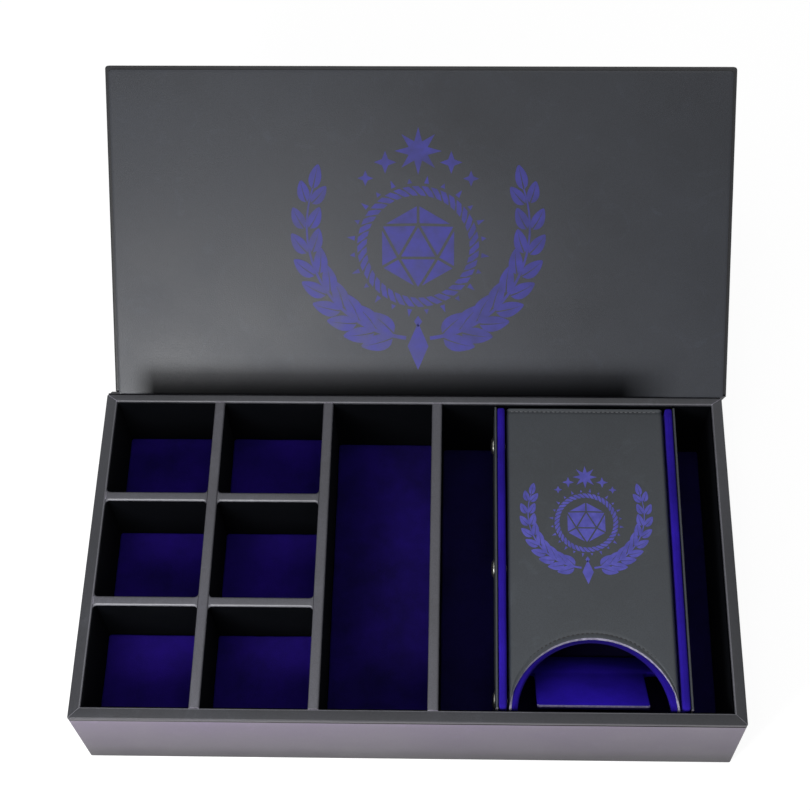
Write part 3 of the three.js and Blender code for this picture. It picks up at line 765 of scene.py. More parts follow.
# Dividers: a velvet core under a folded leatherette cap that flares where it meets its neighbour
divider = {
    "capHeight": 1.2 * mm,
    "capRadius": 1.1 * mm,
    "capReach": 0.24 * mm,
    "capOverlap": 0.02 * mm,
    "capSteps": 5,
    "spacing": 6 * mm,
    "flare": 2.0 * mm,
    "velvetRecess": 0.12 * mm,
    "velvetEdge": 0.15 * mm,
    "velvetWander": 0.03 * mm,
    "wallRebate": 0.8 * mm,
    "seamWidth": 0.3 * mm,
    "seamHeight": 0.07 * mm,
    "seamShares": (-0.94, -0.75, 0, 0.75, 0.94),
    "seamSag": 0.35 * mm,
    "wander": 0.06 * mm,
    "wanderScale": 60,
    "topZone": 1 * mm,
}


def addDivider(node, axis, wallEnds, flareEnds):
    low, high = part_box(node)
    side = 1 - axis
    middle, half = (low[side] + high[side]) / 2, (high[side] - low[side]) / 2
    start, end = low[axis] - divider["capReach"], high[axis] + divider["capReach"]
    top, capFoot = high.z, high.z - divider["capHeight"]
    radius, flare, capSteps = divider["capRadius"], divider["flare"], divider["capSteps"]

    def place(along, across, z):
        point = Vector((0, 0, z))
        point[axis], point[side] = along, middle + across
        return point

    steps = [flare * (1 - math.cos(turn)) for turn in turnsFrom(0, 90, 6)]
    stops = [start + step for step in steps]
    stops += spread(start + flare, end - flare, divider["spacing"])[1:-1]
    stops += [end - step for step in reversed(steps)]
    rows = []
    for stop in stops:
        grow = 0.0
        for reached, flared in ((stop - start, flareEnds[0]), (end - stop, flareEnds[1])):
            if flared and reached < flare:
                grow = flare - math.sqrt(max(flare ** 2 - (flare - reached) ** 2, 0))
        wide = half + grow
        section = [(-wide, capFoot)] + arc((-wide + radius, top - radius), radius, 180, 90, capSteps)
        section += arc((wide - radius, top - radius), radius, 90, 0, capSteps) + [(wide, capFoot)]
        row = []
        for across, z in section:
            point = place(stop, across, z)
            sway = abs(noise.noise(point * divider["wanderScale"])) * divider["wander"]
            row.append(point - Vector((0, 0, sway if z > top - divider["topZone"] else 0)))
        rows.append(row)
    # the rolled edge that faces the front gets a painted highlight
    lit = range(0, capSteps) if axis == 0 else ()
    bm = bmesh.new()
    closedSkin(bm, rows, lambda i, j: 3 if j in lit else 0)

    core = half - divider["velvetRecess"]
    coreLow = place(low[axis] + (divider["wallRebate"] if wallEnds[0] else 0), -core, low.z)
    coreTop = capFoot + divider["capOverlap"]
    coreHigh = place(high[axis] - (divider["wallRebate"] if wallEnds[1] else 0), core, coreTop)
    wander = divider["velvetWander"]
    softBox(bm, coreLow, coreHigh, divider["velvetEdge"], axis=axis, wander=wander, material=1)

    along = Vector((1, 0, 0)) if axis == 0 else Vector((0, 1, 0))
    for stop, seamed in ((start, wallEnds[0]), (end, wallEnds[1])):
        if seamed:
            path = [place(stop, half * share, top - (divider["seamSag"] if abs(share) > 0.9 else 0))
                    for share in divider["seamShares"]]
            ribbon(bm, path, along, divider["seamWidth"], divider["seamHeight"], material=2)
    finishes = ["dividerLeather", "blackVelvet", "rawEdge", "edgeLeather"]
    piece = makePiece(node + "_dressed", bm, "case", finishes)
    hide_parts(node)


for i in range(1, 4):
    addDivider("long_divider_" + str(i), axis=1, wallEnds=(True, True), flareEnds=(False, False))
for rowName in ("rear", "front"):
    addDivider(rowName + "_row_divider_1", axis=0, wallEnds=(True, False), flareEnds=(True, True))
    addDivider(rowName + "_row_divider_2", axis=0, wallEnds=(False, False), flareEnds=(True, True))
print("dividers capped")

# Floor pads: velvet over foam, crowned, with rolled edges that are cut a little unevenly
pad = {
    "press": 0.7 * mm,  # how much further than its solid a pad reaches
    "foot": ((0.7 * mm, 0.0), (0.1 * mm, 0.9 * mm), (0.0, 2 * mm)),  # inset and height
    "roll": 1.1 * mm,
    "crown": 0.5 * mm,
    "crownPower": 2.2,
    "corner": 1.6 * mm,
    "cornerShrink": 0.8,
    "middle": 0.5 * mm,
    "uneven": 0.35 * mm,
    "unevenScale": 45,
    "unevenReach": 12 * mm,
    "swell": 0.14 * mm,
    "swellScale": 70,
    "swellZone": 0.5 * mm,
    "fill": 0.75,
}


def addPad(node, seed, velvet):
    low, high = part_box(node)
    pressed = Vector((pad["press"], pad["press"], 0))
    low, high = Vector(low) - pressed, Vector(high) + pressed
    centre = (low + high) / 2
    half = (high - low) / 2
    roll, crown = pad["roll"], pad["crown"]
    edgeTop = high.z - crown
    levels = [(inset, low.z + rise) for inset, rise in pad["foot"]] + [(0.0, edgeTop - roll)]
    for turn in turnsFrom(0, 90, 6)[1:]:
        levels.append((roll * (1 - math.cos(turn)), edgeTop - roll + roll * math.sin(turn)))
    reach = min(half.x, half.y) - pad["middle"]
    for i in range(1, 13):
        share = i / 12
        rise = crown * (1 - (1 - share) ** pad["crownPower"])
        levels.append((roll + (reach - roll) * share, edgeTop + rise))
    rows = []
    for inset, z in levels:
        corner = pad["corner"] - inset * pad["cornerShrink"]
        row = []
        for x, y in roundLoop(low.x + inset, high.x - inset, low.y + inset, high.y - inset, corner,
                              cornerSteps=6, sideSteps=22):
            point = Vector((x, y, z))
            spot = Vector((x * pad["unevenScale"], y * pad["unevenScale"], seed * 3.7))
            uneven = pad["uneven"] * (0.5 + 0.5 * noise.noise(spot))
            fade = max(0, 1 - inset / pad["unevenReach"])
            point.x += (centre.x - x) / half.x * uneven * fade
            point.y += (centre.y - y) / half.y * uneven * fade
            if z > edgeTop - pad["swellZone"]:
                spot = Vector((x * pad["swellScale"], y * pad["swellScale"], seed * 1.3))
                point.z -= abs(noise.noise(spot)) * pad["swell"]
            row.append(point)
        rows.append(row)
    bm = bmesh.new()
    closedSkin(bm, rows)
    piece = makePiece(node + "_velvet", bm, "case", [velvet], sharp=70)
    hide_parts(node)


for i in range(1, 7):
    addPad("small_pad_" + str(i), i, "floorVelvet")
addPad("long_pad", 7, "longVelvet")
addPad("bay_pad", 8, "bayVelvet")
print("pads laid")

# Lid, built shut about the hinge line and swung open: z grows from its inner face to its outer face
lid = {
    "edgeRadius": 0.9 * mm,
    "cornerRadius": 1.6 * mm,
    "leastCorner": 0.1 * mm,
    "hingeCorner": 0.08 * mm,
    "turnIn": 14.0 * mm,
    "leather": 0.6 * mm,
    "coverRings": (6 * mm, 40 * mm),
    "liningEdge": 0.22 * mm,
    "liningBevel": 0.066 * mm,
    "liningCorner": 2.0 * mm,
    "liningRings": (1.5, 3, 5, 7.5, 10, 12.5, 15, 22, 44),
    "wander": 0.06 * mm,
    "wanderScale": 35,
    "innerZone": 0.1 * mm,
    "foldDip": 0.45 * mm,
    "foldReach": 18 * mm,
    "foldEnds": (-156 * mm, 142 * mm),
    "foldSoft": 9 * mm,
}


# A node's box in the shut lid's own places
def shutBox(node):
    back = lidPlace.inverted()
    return around(back @ vertex.co for vertex in frame["nodes"][node].data.vertices)


# How far the lid's leather dips towards the board near the hinge
def foldDip(x, y):
    near = max(0.0, 1 + y / lid["foldReach"])
    gaps = (x - lid["foldEnds"][0], lid["foldEnds"][1] - x)
    ends = [min(1.0, max(0.0, gap / lid["foldSoft"])) for gap in gaps]
    return lid["foldDip"] * near ** 1.5 * ends[0] * ends[1]


# Rings of (inset, height) from the inner face to the outer one, or only across the inner face
def slab(bm, low, high, levels, corner, sideSteps, material=0, dip=None):
    middle = (low + high) / 2
    rows = []
    for inset, z in levels:
        row = []
        for x, y in roundLoop(low.x + inset, high.x - inset, low.y + inset, high.y - inset,
                              max(corner - inset, lid["leastCorner"]), 6, sideSteps, lid["hingeCorner"]):
            point = Vector((x, y, z))
            spot = Vector((x * lid["wanderScale"], y * lid["wanderScale"], 2.0))
            drift = abs(noise.noise(spot)) * lid["wander"]
            point.x += math.copysign(drift, middle.x - x)
            point.y += math.copysign(drift, middle.y - y)
            if dip and z < low.z + lid["innerZone"]:
                point.z += dip(point.x, point.y)
            row.append(lidPlace @ point)
        rows.append(row)
    closedSkin(bm, rows, material)


def addLidCover():
    low, high = shutBox("lid_wrap")
    radius = lid["edgeRadius"]
    turns = turnsFrom(0, 90, 6)
    levels = [(lid["turnIn"], low.z + lid["leather"]), (lid["turnIn"], low.z)]
    for turn in turns:
        levels.append((radius - radius * math.sin(turn), low.z + radius - radius * math.cos(turn)))
    for turn in turns:
        levels.append((radius - radius * math.cos(turn), high.z - radius + radius * math.sin(turn)))
    levels += [(inset, high.z) for inset in lid["coverRings"]]
    turnedIn = 2 + len(turns) - 1  # rings as far as the lid's edge
    bm = bmesh.new()
    slab(bm, low, high, levels, lid["cornerRadius"], 30, lambda i, j: 1 if i < turnedIn else 0)
    piece = makePiece("lid_cover", bm, "lid", ["caseLeather", "lidEdgeLeather"])
    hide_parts("lid_wrap")


def addLidPanel():
    low, high = shutBox("lid_lining")
    edge, bevel = lid["liningEdge"], lid["liningBevel"]
    levels = [(0.0, high.z), (0.0, low.z + edge), (bevel, low.z + bevel), (edge, low.z)]
    levels += [(inset * mm, low.z) for inset in lid["liningRings"]]
    bm = bmesh.new()
    slab(bm, low, high, levels, lid["liningCorner"], 60, dip=foldDip)
    piece = makePiece("lid_panel", bm, "lid", ["lidLeather"])
    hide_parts("lid_lining")


addLidCover()
addLidPanel()
print("lid covered")

# Hinge cloth: one strip from the spine, round the fold at the hinge line and on to the lid's outer face
hingeCloth = {
    "thickness": 0.8 * mm,
    "overhang": 5.4 * mm,
    "endRound": 0.4 * mm,
    "endGap": 0.1 * mm,
    "spacing": 8 * mm,
    "spineSpacing": 10 * mm,
    "spineLift": 0.3 * mm,
    "spineBend": 2.1 * mm,
    "corner": ((0.5 * mm, 0.0), (0.12 * mm, 0.12 * mm), (0.0, 0.6 * mm)),  # from the spine's top to the wall
    "caseTop": (63.0 * mm, 63.8 * mm),
    "caseTopInside": ((0.0, 63.5 * mm), (0.05 * mm, 64.9 * mm)),
    "lidFoot": (2.2 * mm, 4 * mm),
    "lidRound": ((0.0, 1.0 * mm), (0.3 * mm, 0.3 * mm), (1.0 * mm, 0.0)),
    "lidRun": (8 * mm, 16 * mm),
    "lidEnd": ((0.3 * mm, 0.0), (0.0, 0.25 * mm)),
    "lidFootInside": (0.75 * mm, 1.2 * mm),
    "lidRunInside": 12 * mm,
    "foldZone": 0.65 * mm,
    "foldEnd": 0.04 * mm,
}


def addHingeCloth():
    thick, bend = hingeCloth["thickness"], hingeCloth["spineBend"]
    spineLow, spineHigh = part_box("case_hinge_cloth")
    lidLow, lidHigh = shutBox("lid_hinge_cloth")

    def onLid(y, z):
        swung = lidPlace @ Vector((0, y, z))
        return swung.y, swung.z

    back, foot, face = spineHigh.y, spineLow.z, spineLow.y
    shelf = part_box("spine_board")[1].z + hingeCloth["spineLift"] + thick
    reach, outer = lidLow.y, lidHigh.z
    caseOutside = [(back, z) for z in spread(foot, shelf - bend, hingeCloth["spineSpacing"])[:-1]]
    caseOutside += arc((back - bend, shelf - bend), bend, 0, 90, 6)
    caseOutside += [(face + thick + out, shelf + rise) for out, rise in hingeCloth["corner"]]
    caseOutside += [(face + thick, z) for z in hingeCloth["caseTop"]]
    lidOutside = [(0.0, z) for z in hingeCloth["lidFoot"]]
    lidOutside += [(-along, outer - drop) for along, drop in hingeCloth["lidRound"]]
    lidOutside += [(-along, outer) for along in hingeCloth["lidRun"]]
    lidOutside += [(reach + along, outer - drop) for along, drop in hingeCloth["lidEnd"]]
    caseInside = [(back - thick, foot), (back - thick, shelf - bend)]
    caseInside += arc((back - bend, shelf - bend), bend - thick, 0, 90, 4)[1:]
    caseInside += [(face, shelf - thick)] + [(face + out, z) for out, z in hingeCloth["caseTopInside"]]
    lidInside = [(-thick, z) for z in hingeCloth["lidFootInside"]] + [(-thick, outer - thick)]
    lidInside += [(-hingeCloth["lidRunInside"], outer - thick), (reach, outer - thick)]
    # past the spine board's ends the cloth folds in to the wall
    over, edge, gap = hingeCloth["overhang"], hingeCloth["endRound"], hingeCloth["endGap"]
    stops = [spineLow.x - over, spineLow.x - over + edge, spineLow.x - gap]
    stops += spread(spineLow.x, spineHigh.x, hingeCloth["spacing"])
    stops += [spineHigh.x + gap, spineHigh.x + over - edge, spineHigh.x + over]
    rows = []
    for x in stops:
        share = (x - stops[0]) / (stops[-1] - stops[0])
        onLidX = lidLow.x + (lidHigh.x - lidLow.x) * share
        pastSpine = not spineLow.x <= x <= spineHigh.x
        atEnd = edge if x in (stops[0], stops[-1]) else 0.0
        row = [Vector((x, y - atEnd if y > face + thick + gap else y, z)) for y, z in caseOutside]
        row += [Vector((onLidX, *onLid(*point))) for point in lidOutside + lidInside[::-1]]
        row += [Vector((x, face if pastSpine else y, z)) for y, z in caseInside[::-1]]
        rows.append(row)
    bm = bmesh.new()
    closedSkin(bm, rows)
    piece = makePiece("hinge_cloth", bm, None, ["caseLeather"])
    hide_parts("case_hinge_cloth", "lid_hinge_cloth")
    across = Vector((0, -math.cos(openAngle), math.sin(openAngle)))
    ends = [hinge - across * hingeCloth[key] for key in ("foldZone", "foldEnd")]
    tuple(ends[0])
    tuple(ends[1])
    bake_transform(piece)


addHingeCloth()
print("hinge cloth hung")

# Dice tower: a skin folded round three velvet boards, and a front panel with an arched exit
tower = {
    "skin": 1.2 * mm,
    "skinCorner": 2.5 * mm,
    "sideSpacing": 7 * mm,
    "backSpacing": 12 * mm,
    "spacing": 6 * mm,
    "topZone": 2 * mm,
    "boardEdges": {"tower_left_board": 1.4 * mm, "tower_right_board": 1.4 * mm, "tower_back_board": 0.6 * mm},
    "boardSpacing": 5 * mm,
    "boardWander": 0.12 * mm,
    "frontRoll": 2.4 * mm,
    "rollSteps": 8,
    "archSteps": 56,
    "archFlare": 0.4 * mm,
    "archCentreBelowEnd": 6.1 * mm,
    "archRows": (0.0, 0.3, 0.9, 1.6, 2.15, 2.7, 3.25, 3.9, 5.0),  # mm from the arch
    "endRows": (4.0, 3.2, 2.5, 2.0, 1.5, 0.9, 0.3, 0.0),  # mm from the rear end
    "middleRows": 14,
    "edgeRound": 0.4 * mm,
    "edgeSlope": 0.35 * mm,
    "seamDip": 0.34 * mm,
    "seamSpread": 0.8 * mm,
    "wander": 0.08 * mm,
    "skinScale": 30,
    "puffScale": 22,
}
skinLow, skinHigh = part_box("tower_skin")
frontLow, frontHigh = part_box("tower_front_skin")
boardLow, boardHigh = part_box("tower_front_board")
towerMiddle = (skinLow.x + skinHigh.x) / 2
towerFrontEnd, towerRearEnd = skinLow.y, skinHigh.y
archRadius = (frontHigh.x - frontLow.x) / 2 + tower["archFlare"]
archCentreY = towerFrontEnd - tower["archCentreBelowEnd"]


def addTowerSkin():
    thick, corner = tower["skin"], tower["skinCorner"]
    x0, x1, z0, z1 = skinLow.x, skinHigh.x, skinLow.z, skinHigh.z
    lip = thick / 2
    outside = [(x0, z) for z in spread(z1 - lip, z0 + corner, tower["sideSpacing"])]
    outside += arc((x0 + corner, z0 + corner), corner, 180, 270, 6)[1:]
    outside += [(x, z0) for x in spread(x0 + corner, x1 - corner, tower["backSpacing"])[1:-1]]
    outside += arc((x1 - corner, z0 + corner), corner, 270, 360, 6)
    outside += [(x1, z) for z in spread(z0 + corner, z1 - lip, tower["sideSpacing"])[1:]]
    inside = []
    for x, z in outside:
        innerX = min(max(x, x0 + corner), x1 - corner)
        innerZ = max(z, z0 + corner)
        away = Vector((x - innerX, z - innerZ))
        away.normalize()
        inside.append((x - away.x * thick, z - away.y * thick))
    overLeft = arc((x0 + lip, z1 - lip), lip, 0, 180, 6)[1:-1]
    overRight = arc((x1 - lip, z1 - lip), lip, 0, 180, 6)[1:-1]
    rows = []
    for y in spread(towerFrontEnd, towerRearEnd, tower["spacing"]):
        row = []
        for x, z in outside + overRight + inside[::-1] + overLeft:
            spot = Vector((x * tower["skinScale"], y * tower["skinScale"], z * tower["skinScale"]))
            sway = abs(noise.noise(spot) * tower["wander"])
            sink = sway if z > z1 - tower["topZone"] else 0
            row.append(Vector((x, y, z)) + Vector((math.copysign(sway * 0.6, towerMiddle - x), 0, -sink)))
        rows.append(row)
    bm = bmesh.new()
    skin(bm, rows, closeColumns=True)
    # the cut ends of the sheet, a strip from its outer to its inner face
    count, lipCount = len(outside), len(overRight)
    for row in (rows[0], rows[-1]):
        outer = row[:count]
        inner = row[count + lipCount:count + lipCount + count][::-1]
        skin(bm, [outer, inner], material=1)
        for rounded, first, last in (
            (row[count:count + lipCount], outer[-1], inner[-1]),
            (row[-lipCount:], inner[0], outer[0]),
        ):
            cap(bm, [bm.verts.new(point) for point in [first] + rounded + [last]], 1)
    piece = makePiece("tower_shell", bm, "tower", ["towerLeather", "rawEdge"])
    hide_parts("tower_skin")


def addTowerBoards():
    for node, radius in tower["boardEdges"].items():
        bm = bmesh.new()
        low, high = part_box(node)
        softBox(bm, low, high, radius, axis=1, spacing=tower["boardSpacing"], wander=tower["boardWander"])
        velvet = "innerVelvet" if node == "tower_back_board" else "blueVelvet"
        piece = makePiece(node + "_velvet", bm, "tower", [velvet], sharp=70)
        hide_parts(node)


stitch = {
    "length": 1.75 * mm,
    "archLength": 1.4 * mm,
    "pitch": 2.5 * mm,
    "radius": 0.24 * mm,
    "archRadius": 0.44 * mm,
    "rings": ((-1, 0.35), (-0.82, 0.8), (-0.3, 1.0), (0.3, 1.0), (0.82, 0.8), (1, 0.35)),
    "flatness": 0.8,
    "sink": 0.1 * mm,
    "sinkMiddle": 0.4,
    "sinkEnds": 2.2,
    "endZone": 0.6,
    "stray": 0.09 * mm,
    "strayScale": 700,
    "turnStray": 0.12,
    "turnScale": 900,
    "edgeInset": 2.0 * mm,
    "edgeEnds": 0.8 * mm,
    "archInset": 2.7 * mm,
    "archEnds": 0.9 * mm,
    "hole": 0.4 * mm,
    "holeGap": 0.1 * mm,
    "holeRise": 0.015 * mm,
    "probe": 0.4 * mm,
}


# Height of the front's leather over its rolled sides
def frontHeight(x):
    roll = tower["frontRoll"]
    over = abs(x - towerMiddle) - ((frontHigh.x - frontLow.x) / 2 - roll)
    return frontHigh.z if over <= 0 else frontHigh.z - roll + math.sqrt(max(roll ** 2 - over ** 2, 0))


def archEdge(x, radius, centreY):
    rise = radius ** 2 - (x - towerMiddle) ** 2
    return max(centreY + math.sqrt(rise), towerFrontEnd) if rise > 0 else towerFrontEnd


# The front's cross-section as x, z and the way its face looks: flap, roll, top, roll, flap
def frontSection():
    roll, rollSteps, archSteps = tower["frontRoll"], tower["rollSteps"], tower["archSteps"]
    limit = math.asin(((frontHigh.x - frontLow.x) / 2 - roll) / archRadius)
    flap = spread(frontLow.z, frontHigh.z - roll, tower["spacing"])[:-1]

    def rolled(centreX, turn):
        return (centreX + roll * math.cos(turn), frontHigh.z - roll + roll * math.sin(turn),
                math.cos(turn), math.sin(turn))
    section = [(frontLow.x, z, -1.0, 0.0) for z in flap]
    section += [rolled(frontLow.x + roll, turn) for turn in turnsFrom(180, 90, rollSteps)]
    for i in range(1, archSteps):
        across = towerMiddle + archRadius * math.sin(-limit + 2 * limit * i / archSteps)
        section.append((across, frontHigh.z, 0.0, 1.0))
    section += [rolled(frontHigh.x - roll, turn) for turn in turnsFrom(90, 0, rollSteps)]
    return section + [(frontHigh.x, z, 1.0, 0.0) for z in reversed(flap)]


def addTowerFront():
    thick, section = tower["skin"], frontSection()
    archRows, endRows, middleRows = tower["archRows"], tower["endRows"], tower["middleRows"]
    # each row is a distance from the arch or from the rear end, or a share of what lies between
    stops = [("arch", place * mm) for place in archRows]
    stops += [("share", i / middleRows) for i in range(1, middleRows)]
    stops += [("end", place * mm) for place in endRows]
    outerRows, innerRows = [], []
    for kind, place in stops:
        outerRow, innerRow = [], []
        for x, z, nx, nz in section:
            begin = archEdge(x, archRadius, archCentreY)
            first, last = begin + archRows[-1] * mm, towerRearEnd - endRows[0] * mm
            if kind == "share":
                y = first + (last - first) * place
                sink = 0.0
            else:
                y = begin + place if kind == "arch" else towerRearEnd - place
                seam = stitch["archInset"] if kind == "arch" else stitch["edgeInset"]
                sink = tower["seamDip"] * math.exp(-((place - seam) / tower["seamSpread"]) ** 2)
                sink += tower["edgeRound"] * max(0.0, 1 - place / tower["edgeRound"]) ** 2
            point = Vector((x, y, z))
            spot = Vector((x * tower["puffScale"], y * tower["puffScale"], 5.0))
            puff = abs(noise.noise(spot) * tower["wander"])
            normal = Vector((nx, 0, nz))
            outerRow.append(point - normal * (sink + puff))
            onArch = kind == "arch" and place == 0 and begin > towerFrontEnd + 1 * mm
            slope = tower["edgeSlope"] if onArch else 0.0
            innerRow.append(point - normal * thick - Vector((0, slope, 0)))
        outerRows.append(outerRow)
        innerRows.append(innerRow)
    bm = bmesh.new()
    skin(bm, outerRows, lambda i, j: 1 if i == 0 else 0)
    skin(bm, innerRows)
    skin(bm, [outerRows[0], innerRows[0]], material=1)
    skin(bm, [outerRows[-1], innerRows[-1]], material=1)
    for column in (0, -1):
        skin(bm, [[row[column] for row in outerRows], [row[column] for row in innerRows]], material=1)
    piece = makePiece("tower_front_panel", bm, "tower", ["towerLeather", "cutEdge"])
    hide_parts("tower_front_skin")


# The board behind the front, whose arch is a little smaller and shows as a velvet rim
frontVelvet = {
    "archRadius": 38.53 * mm,
    "archCentreBelowEnd": 2.03 * mm,
    "archSteps": 60,
    "side": 0.6 * mm,
    "soft": 1.2 * mm,
    "footBevel": 0.4 * mm,
}


def addFrontVelvet():
    radius, below = frontVelvet["archRadius"], frontVelvet["archCentreBelowEnd"]
    steps, side, soft, bevel = (frontVelvet[key] for key in ("archSteps", "side", "soft", "footBevel"))
    centreY = towerFrontEnd - below
    corner = math.sqrt(radius ** 2 - below ** 2)
    limit = math.asin(corner / radius)
    columns = [boardLow.x, boardLow.x + side, towerMiddle - corner - hair]
    columns += [towerMiddle + radius * math.sin(-limit + 2 * limit * i / steps) for i in range(steps + 1)]
    columns += [towerMiddle + corner + hair, boardHigh.x - side, boardHigh.x]
    # share of the way to the rear end, how far the arch is drawn back, and height
    levels = [(1.0, None, boardLow.z), (0.5, None, boardLow.z)]
    levels += [(0.0, bevel, boardLow.z), (0.0, 0.0, boardLow.z + bevel)]
    for turn in turnsFrom(0, 90, 5):
        levels.append((0.0, soft * (1 - math.cos(turn)), boardHigh.z - soft + soft * math.sin(turn)))
    levels += [(0.1, None, boardHigh.z), (0.5, None, boardHigh.z), (1.0, None, boardHigh.z)]
    rows = []
    for share, offset, z in levels:
        row = []
        for x in columns:
            begin = archEdge(x, radius + (offset or 0.0), centreY)
            if offset is not None and begin <= towerFrontEnd:
                begin = towerFrontEnd + offset * 0.5
            row.append(Vector((x, begin + (towerRearEnd - begin) * share, z)))
        rows.append(row)
    bm = bmesh.new()
    grid = skin(bm, rows, closeRows=True)
    cap(bm, [row[0] for row in grid])
    cap(bm, [row[-1] for row in reversed(grid)])
    piece = makePiece("tower_front_velvet", bm, "tower", ["archVelvet"], sharp=60)
    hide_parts("tower_front_board")


addTowerSkin()
addTowerBoards()
addTowerFront()
addFrontVelvet()
print("tower covered")


# Stitches along the front's rear edge and round its arch, each a little out of line
def addStitch(bm, middle, ahead, up, arched=False):
    length = stitch["archLength" if arched else "length"]
    radius = stitch["archRadius" if arched else "radius"]
    side = ahead.cross(up).normalized()
    middle = middle - up * tower["seamDip"]
    middle = middle + side * noise.noise(middle * stitch["strayScale"]) * stitch["stray"]
    ahead = (ahead + side * noise.noise(middle * stitch["turnScale"]) * stitch["turnStray"]).normalized()
    rings = []
    for share, thickness in stitch["rings"]:
        base = middle + ahead * share * length / 2
        sunk = 1 + stitch["sinkEnds"] * max(0, abs(share) - stitch["endZone"])
        dip = stitch["sink"] * sunk * stitch["sinkMiddle"]
        reach, rise = radius * thickness, radius * thickness * stitch["flatness"]
        rings.append([base + side * math.cos(turn) * reach + up * (math.sin(turn) * rise - dip)
                      for turn in turnsFrom(0, 315, 7)])
    closedSkin(bm, rings, 2 if arched else 0)
    # a thin dark disc at each end, painted shade for the needle hole
    for sign in (-1, 1):
        base = middle + ahead * sign * (length / 2 + stitch["holeGap"]) + up * stitch["holeRise"]
        ring = [base + (side * math.cos(turn) + ahead * math.sin(turn)) * stitch["hole"]
                for turn in turnsFrom(0, 300, 5)]
        closedSkin(bm, [[point - up * stitch["sink"] for point in ring], ring], 1)


def addStitches():
    bm = bmesh.new()
    inset, pitch, probe = stitch["edgeInset"], stitch["pitch"], stitch["probe"]
    y = towerRearEnd - inset
    ends = tower["frontRoll"] + stitch["edgeEnds"]
    x = frontLow.x + ends
    while x < frontHigh.x - ends:
        addStitch(bm, Vector((x, y, frontHigh.z)), Vector((1, 0, 0)), Vector((0, 0, 1)))
        x += pitch
    radius = archRadius + stitch["archInset"]
    step = pitch / radius
    limit = math.asin(((frontHigh.x - frontLow.x) / 2 - stitch["archEnds"]) / radius)
    count = int(limit / step)
    for i in range(-count, count + 1):
        turn = i * step
        x, y = towerMiddle + radius * math.sin(turn), archCentreY + radius * math.cos(turn)
        slope = (frontHeight(x + probe) - frontHeight(x - probe)) / (2 * probe)
        up = Vector((-slope, 0, 1)).normalized()
        ahead = Vector((math.cos(turn), -math.sin(turn), slope * math.cos(turn))).normalized()
        addStitch(bm, Vector((x, y, frontHeight(x))), ahead, up, arched=True)
    piece = makePiece("front_stitches", bm, "tower", ["thread", "needleHole", "archThread"])


addStitches()
print("stitches sewn")

# Exit ramp: a T-shaped velvet board, its tongue towards the exit
exitRamp = {
    "thickness": 2.6 * mm,
    "slope": 45.0,
    "tongueWidth": 57.0 * mm,
    "tongueCorner": 1.0 * mm,
    "headRise": 12.7 * mm,
    "fillet": 3.0 * mm,
    "filletSteps": 6,
    "soft": 0.5 * mm,
    "bevel": 0.15 * mm,
    "rawWidth": 1.1 * mm,
    "bands": (0, 1, 1, 2, 2, 2),  # velvet, a raw line, then the board's shaded lower half
}


def addExitRamp():
    low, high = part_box("exit_ramp")
    slope = math.radians(exitRamp["slope"])
    thick, fillet, steps = exitRamp["thickness"], exitRamp["fillet"], exitRamp["filletSteps"]
    cut, soft, bevel = exitRamp["tongueCorner"], exitRamp["soft"], exitRamp["bevel"]
    run = (high.z - low.z) - thick * math.cos(slope)
    length = run / math.sin(slope)
    head = exitRamp["headRise"] / math.sin(slope)
    half, wide = exitRamp["tongueWidth"] / 2, (high.x - low.x) / 2
    outline = [(-wide, 0.0), (wide, 0.0), (wide, head)]
    outline += arc((half + fillet, head + fillet), fillet, 270, 180, steps)
    tongueStart = len(outline)
    outline += [(half, length - cut), (half - cut, length), (cut - half, length), (-half, length - cut)]
    outline += arc((-half - fillet, head + fillet), fillet, 0, -90, steps)
    outline += [(-wide, head)]
    foot = Vector((towerMiddle, high.y, high.z - run))
    tilt = Matrix.Translation(foot) @ Matrix.Rotation(math.pi - slope, 4, "X")
    count = len(outline)
    inward = []
    for i in range(count):
        before, here, after = (Vector(outline[(i + k) % count]) for k in (-1, 0, 1))
        first, second = (here - before).normalized(), (after - here).normalized()
        normal = Vector((-first.y, first.x)) + Vector((-second.y, second.x))
        inward.append(normal.normalized())
    levels = [(soft, 0.0), (bevel, bevel), (0.0, soft), (0.0, bevel + exitRamp["rawWidth"])]
    levels += [(0.0, thick - soft), (bevel, thick - bevel), (soft, thick)]
    rows = []
    for inset, depth in levels:
        rows.append([tilt @ Vector((x + normal.x * inset, y + normal.y * inset, depth))
                     for (x, y), normal in zip(outline, inward)])
    tongueEnd = range(tongueStart, tongueStart + 3)  # the end that shows in the exit
    bm = bmesh.new()
    closedSkin(bm, rows, lambda i, j: exitRamp["bands"][i] if j in tongueEnd else 0)
    piece = makePiece("exit_ramp_velvet", bm, "tower", ["rampVelvet", "rampEdge", "bayVelvet"], sharp=50)
    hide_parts("exit_ramp")


addExitRamp()
dress("upper_ramp", "rampVelvet")
dress("middle_ramp", "rampVelvet")

# Snap fasteners: a domed cap outside with a rolled rim, and a stud inside
snap = {
    "sides": 32,
    "rim": 0.35 * mm,
    "rimProfile": ((-1.5, 0.55), (-1.0, 1.3), (-0.3, 1.2), (0.0, 0.6)),  # in rims, from the cap's edge
    "domeSteps": 8,
    "domePower": 0.8,
    "rimFoot": 0.2,
    "shank": 1.9 * mm,
    "lift": 0.02 * mm,
}


def revolve(bm, profile, origin, axis, sides):
    across = Vector((0, 1, 0))
    up = Vector((0, 0, 1))
    rows = []
    for radius, along in profile:
        ring = []
        for i in range(sides):
            turn = 2 * math.pi * i / sides
            ring.append(origin + axis * along + (across * math.cos(turn) + up * math.sin(turn)) * radius)
        rows.append(ring)
    skin(bm, rows, closeColumns=True)


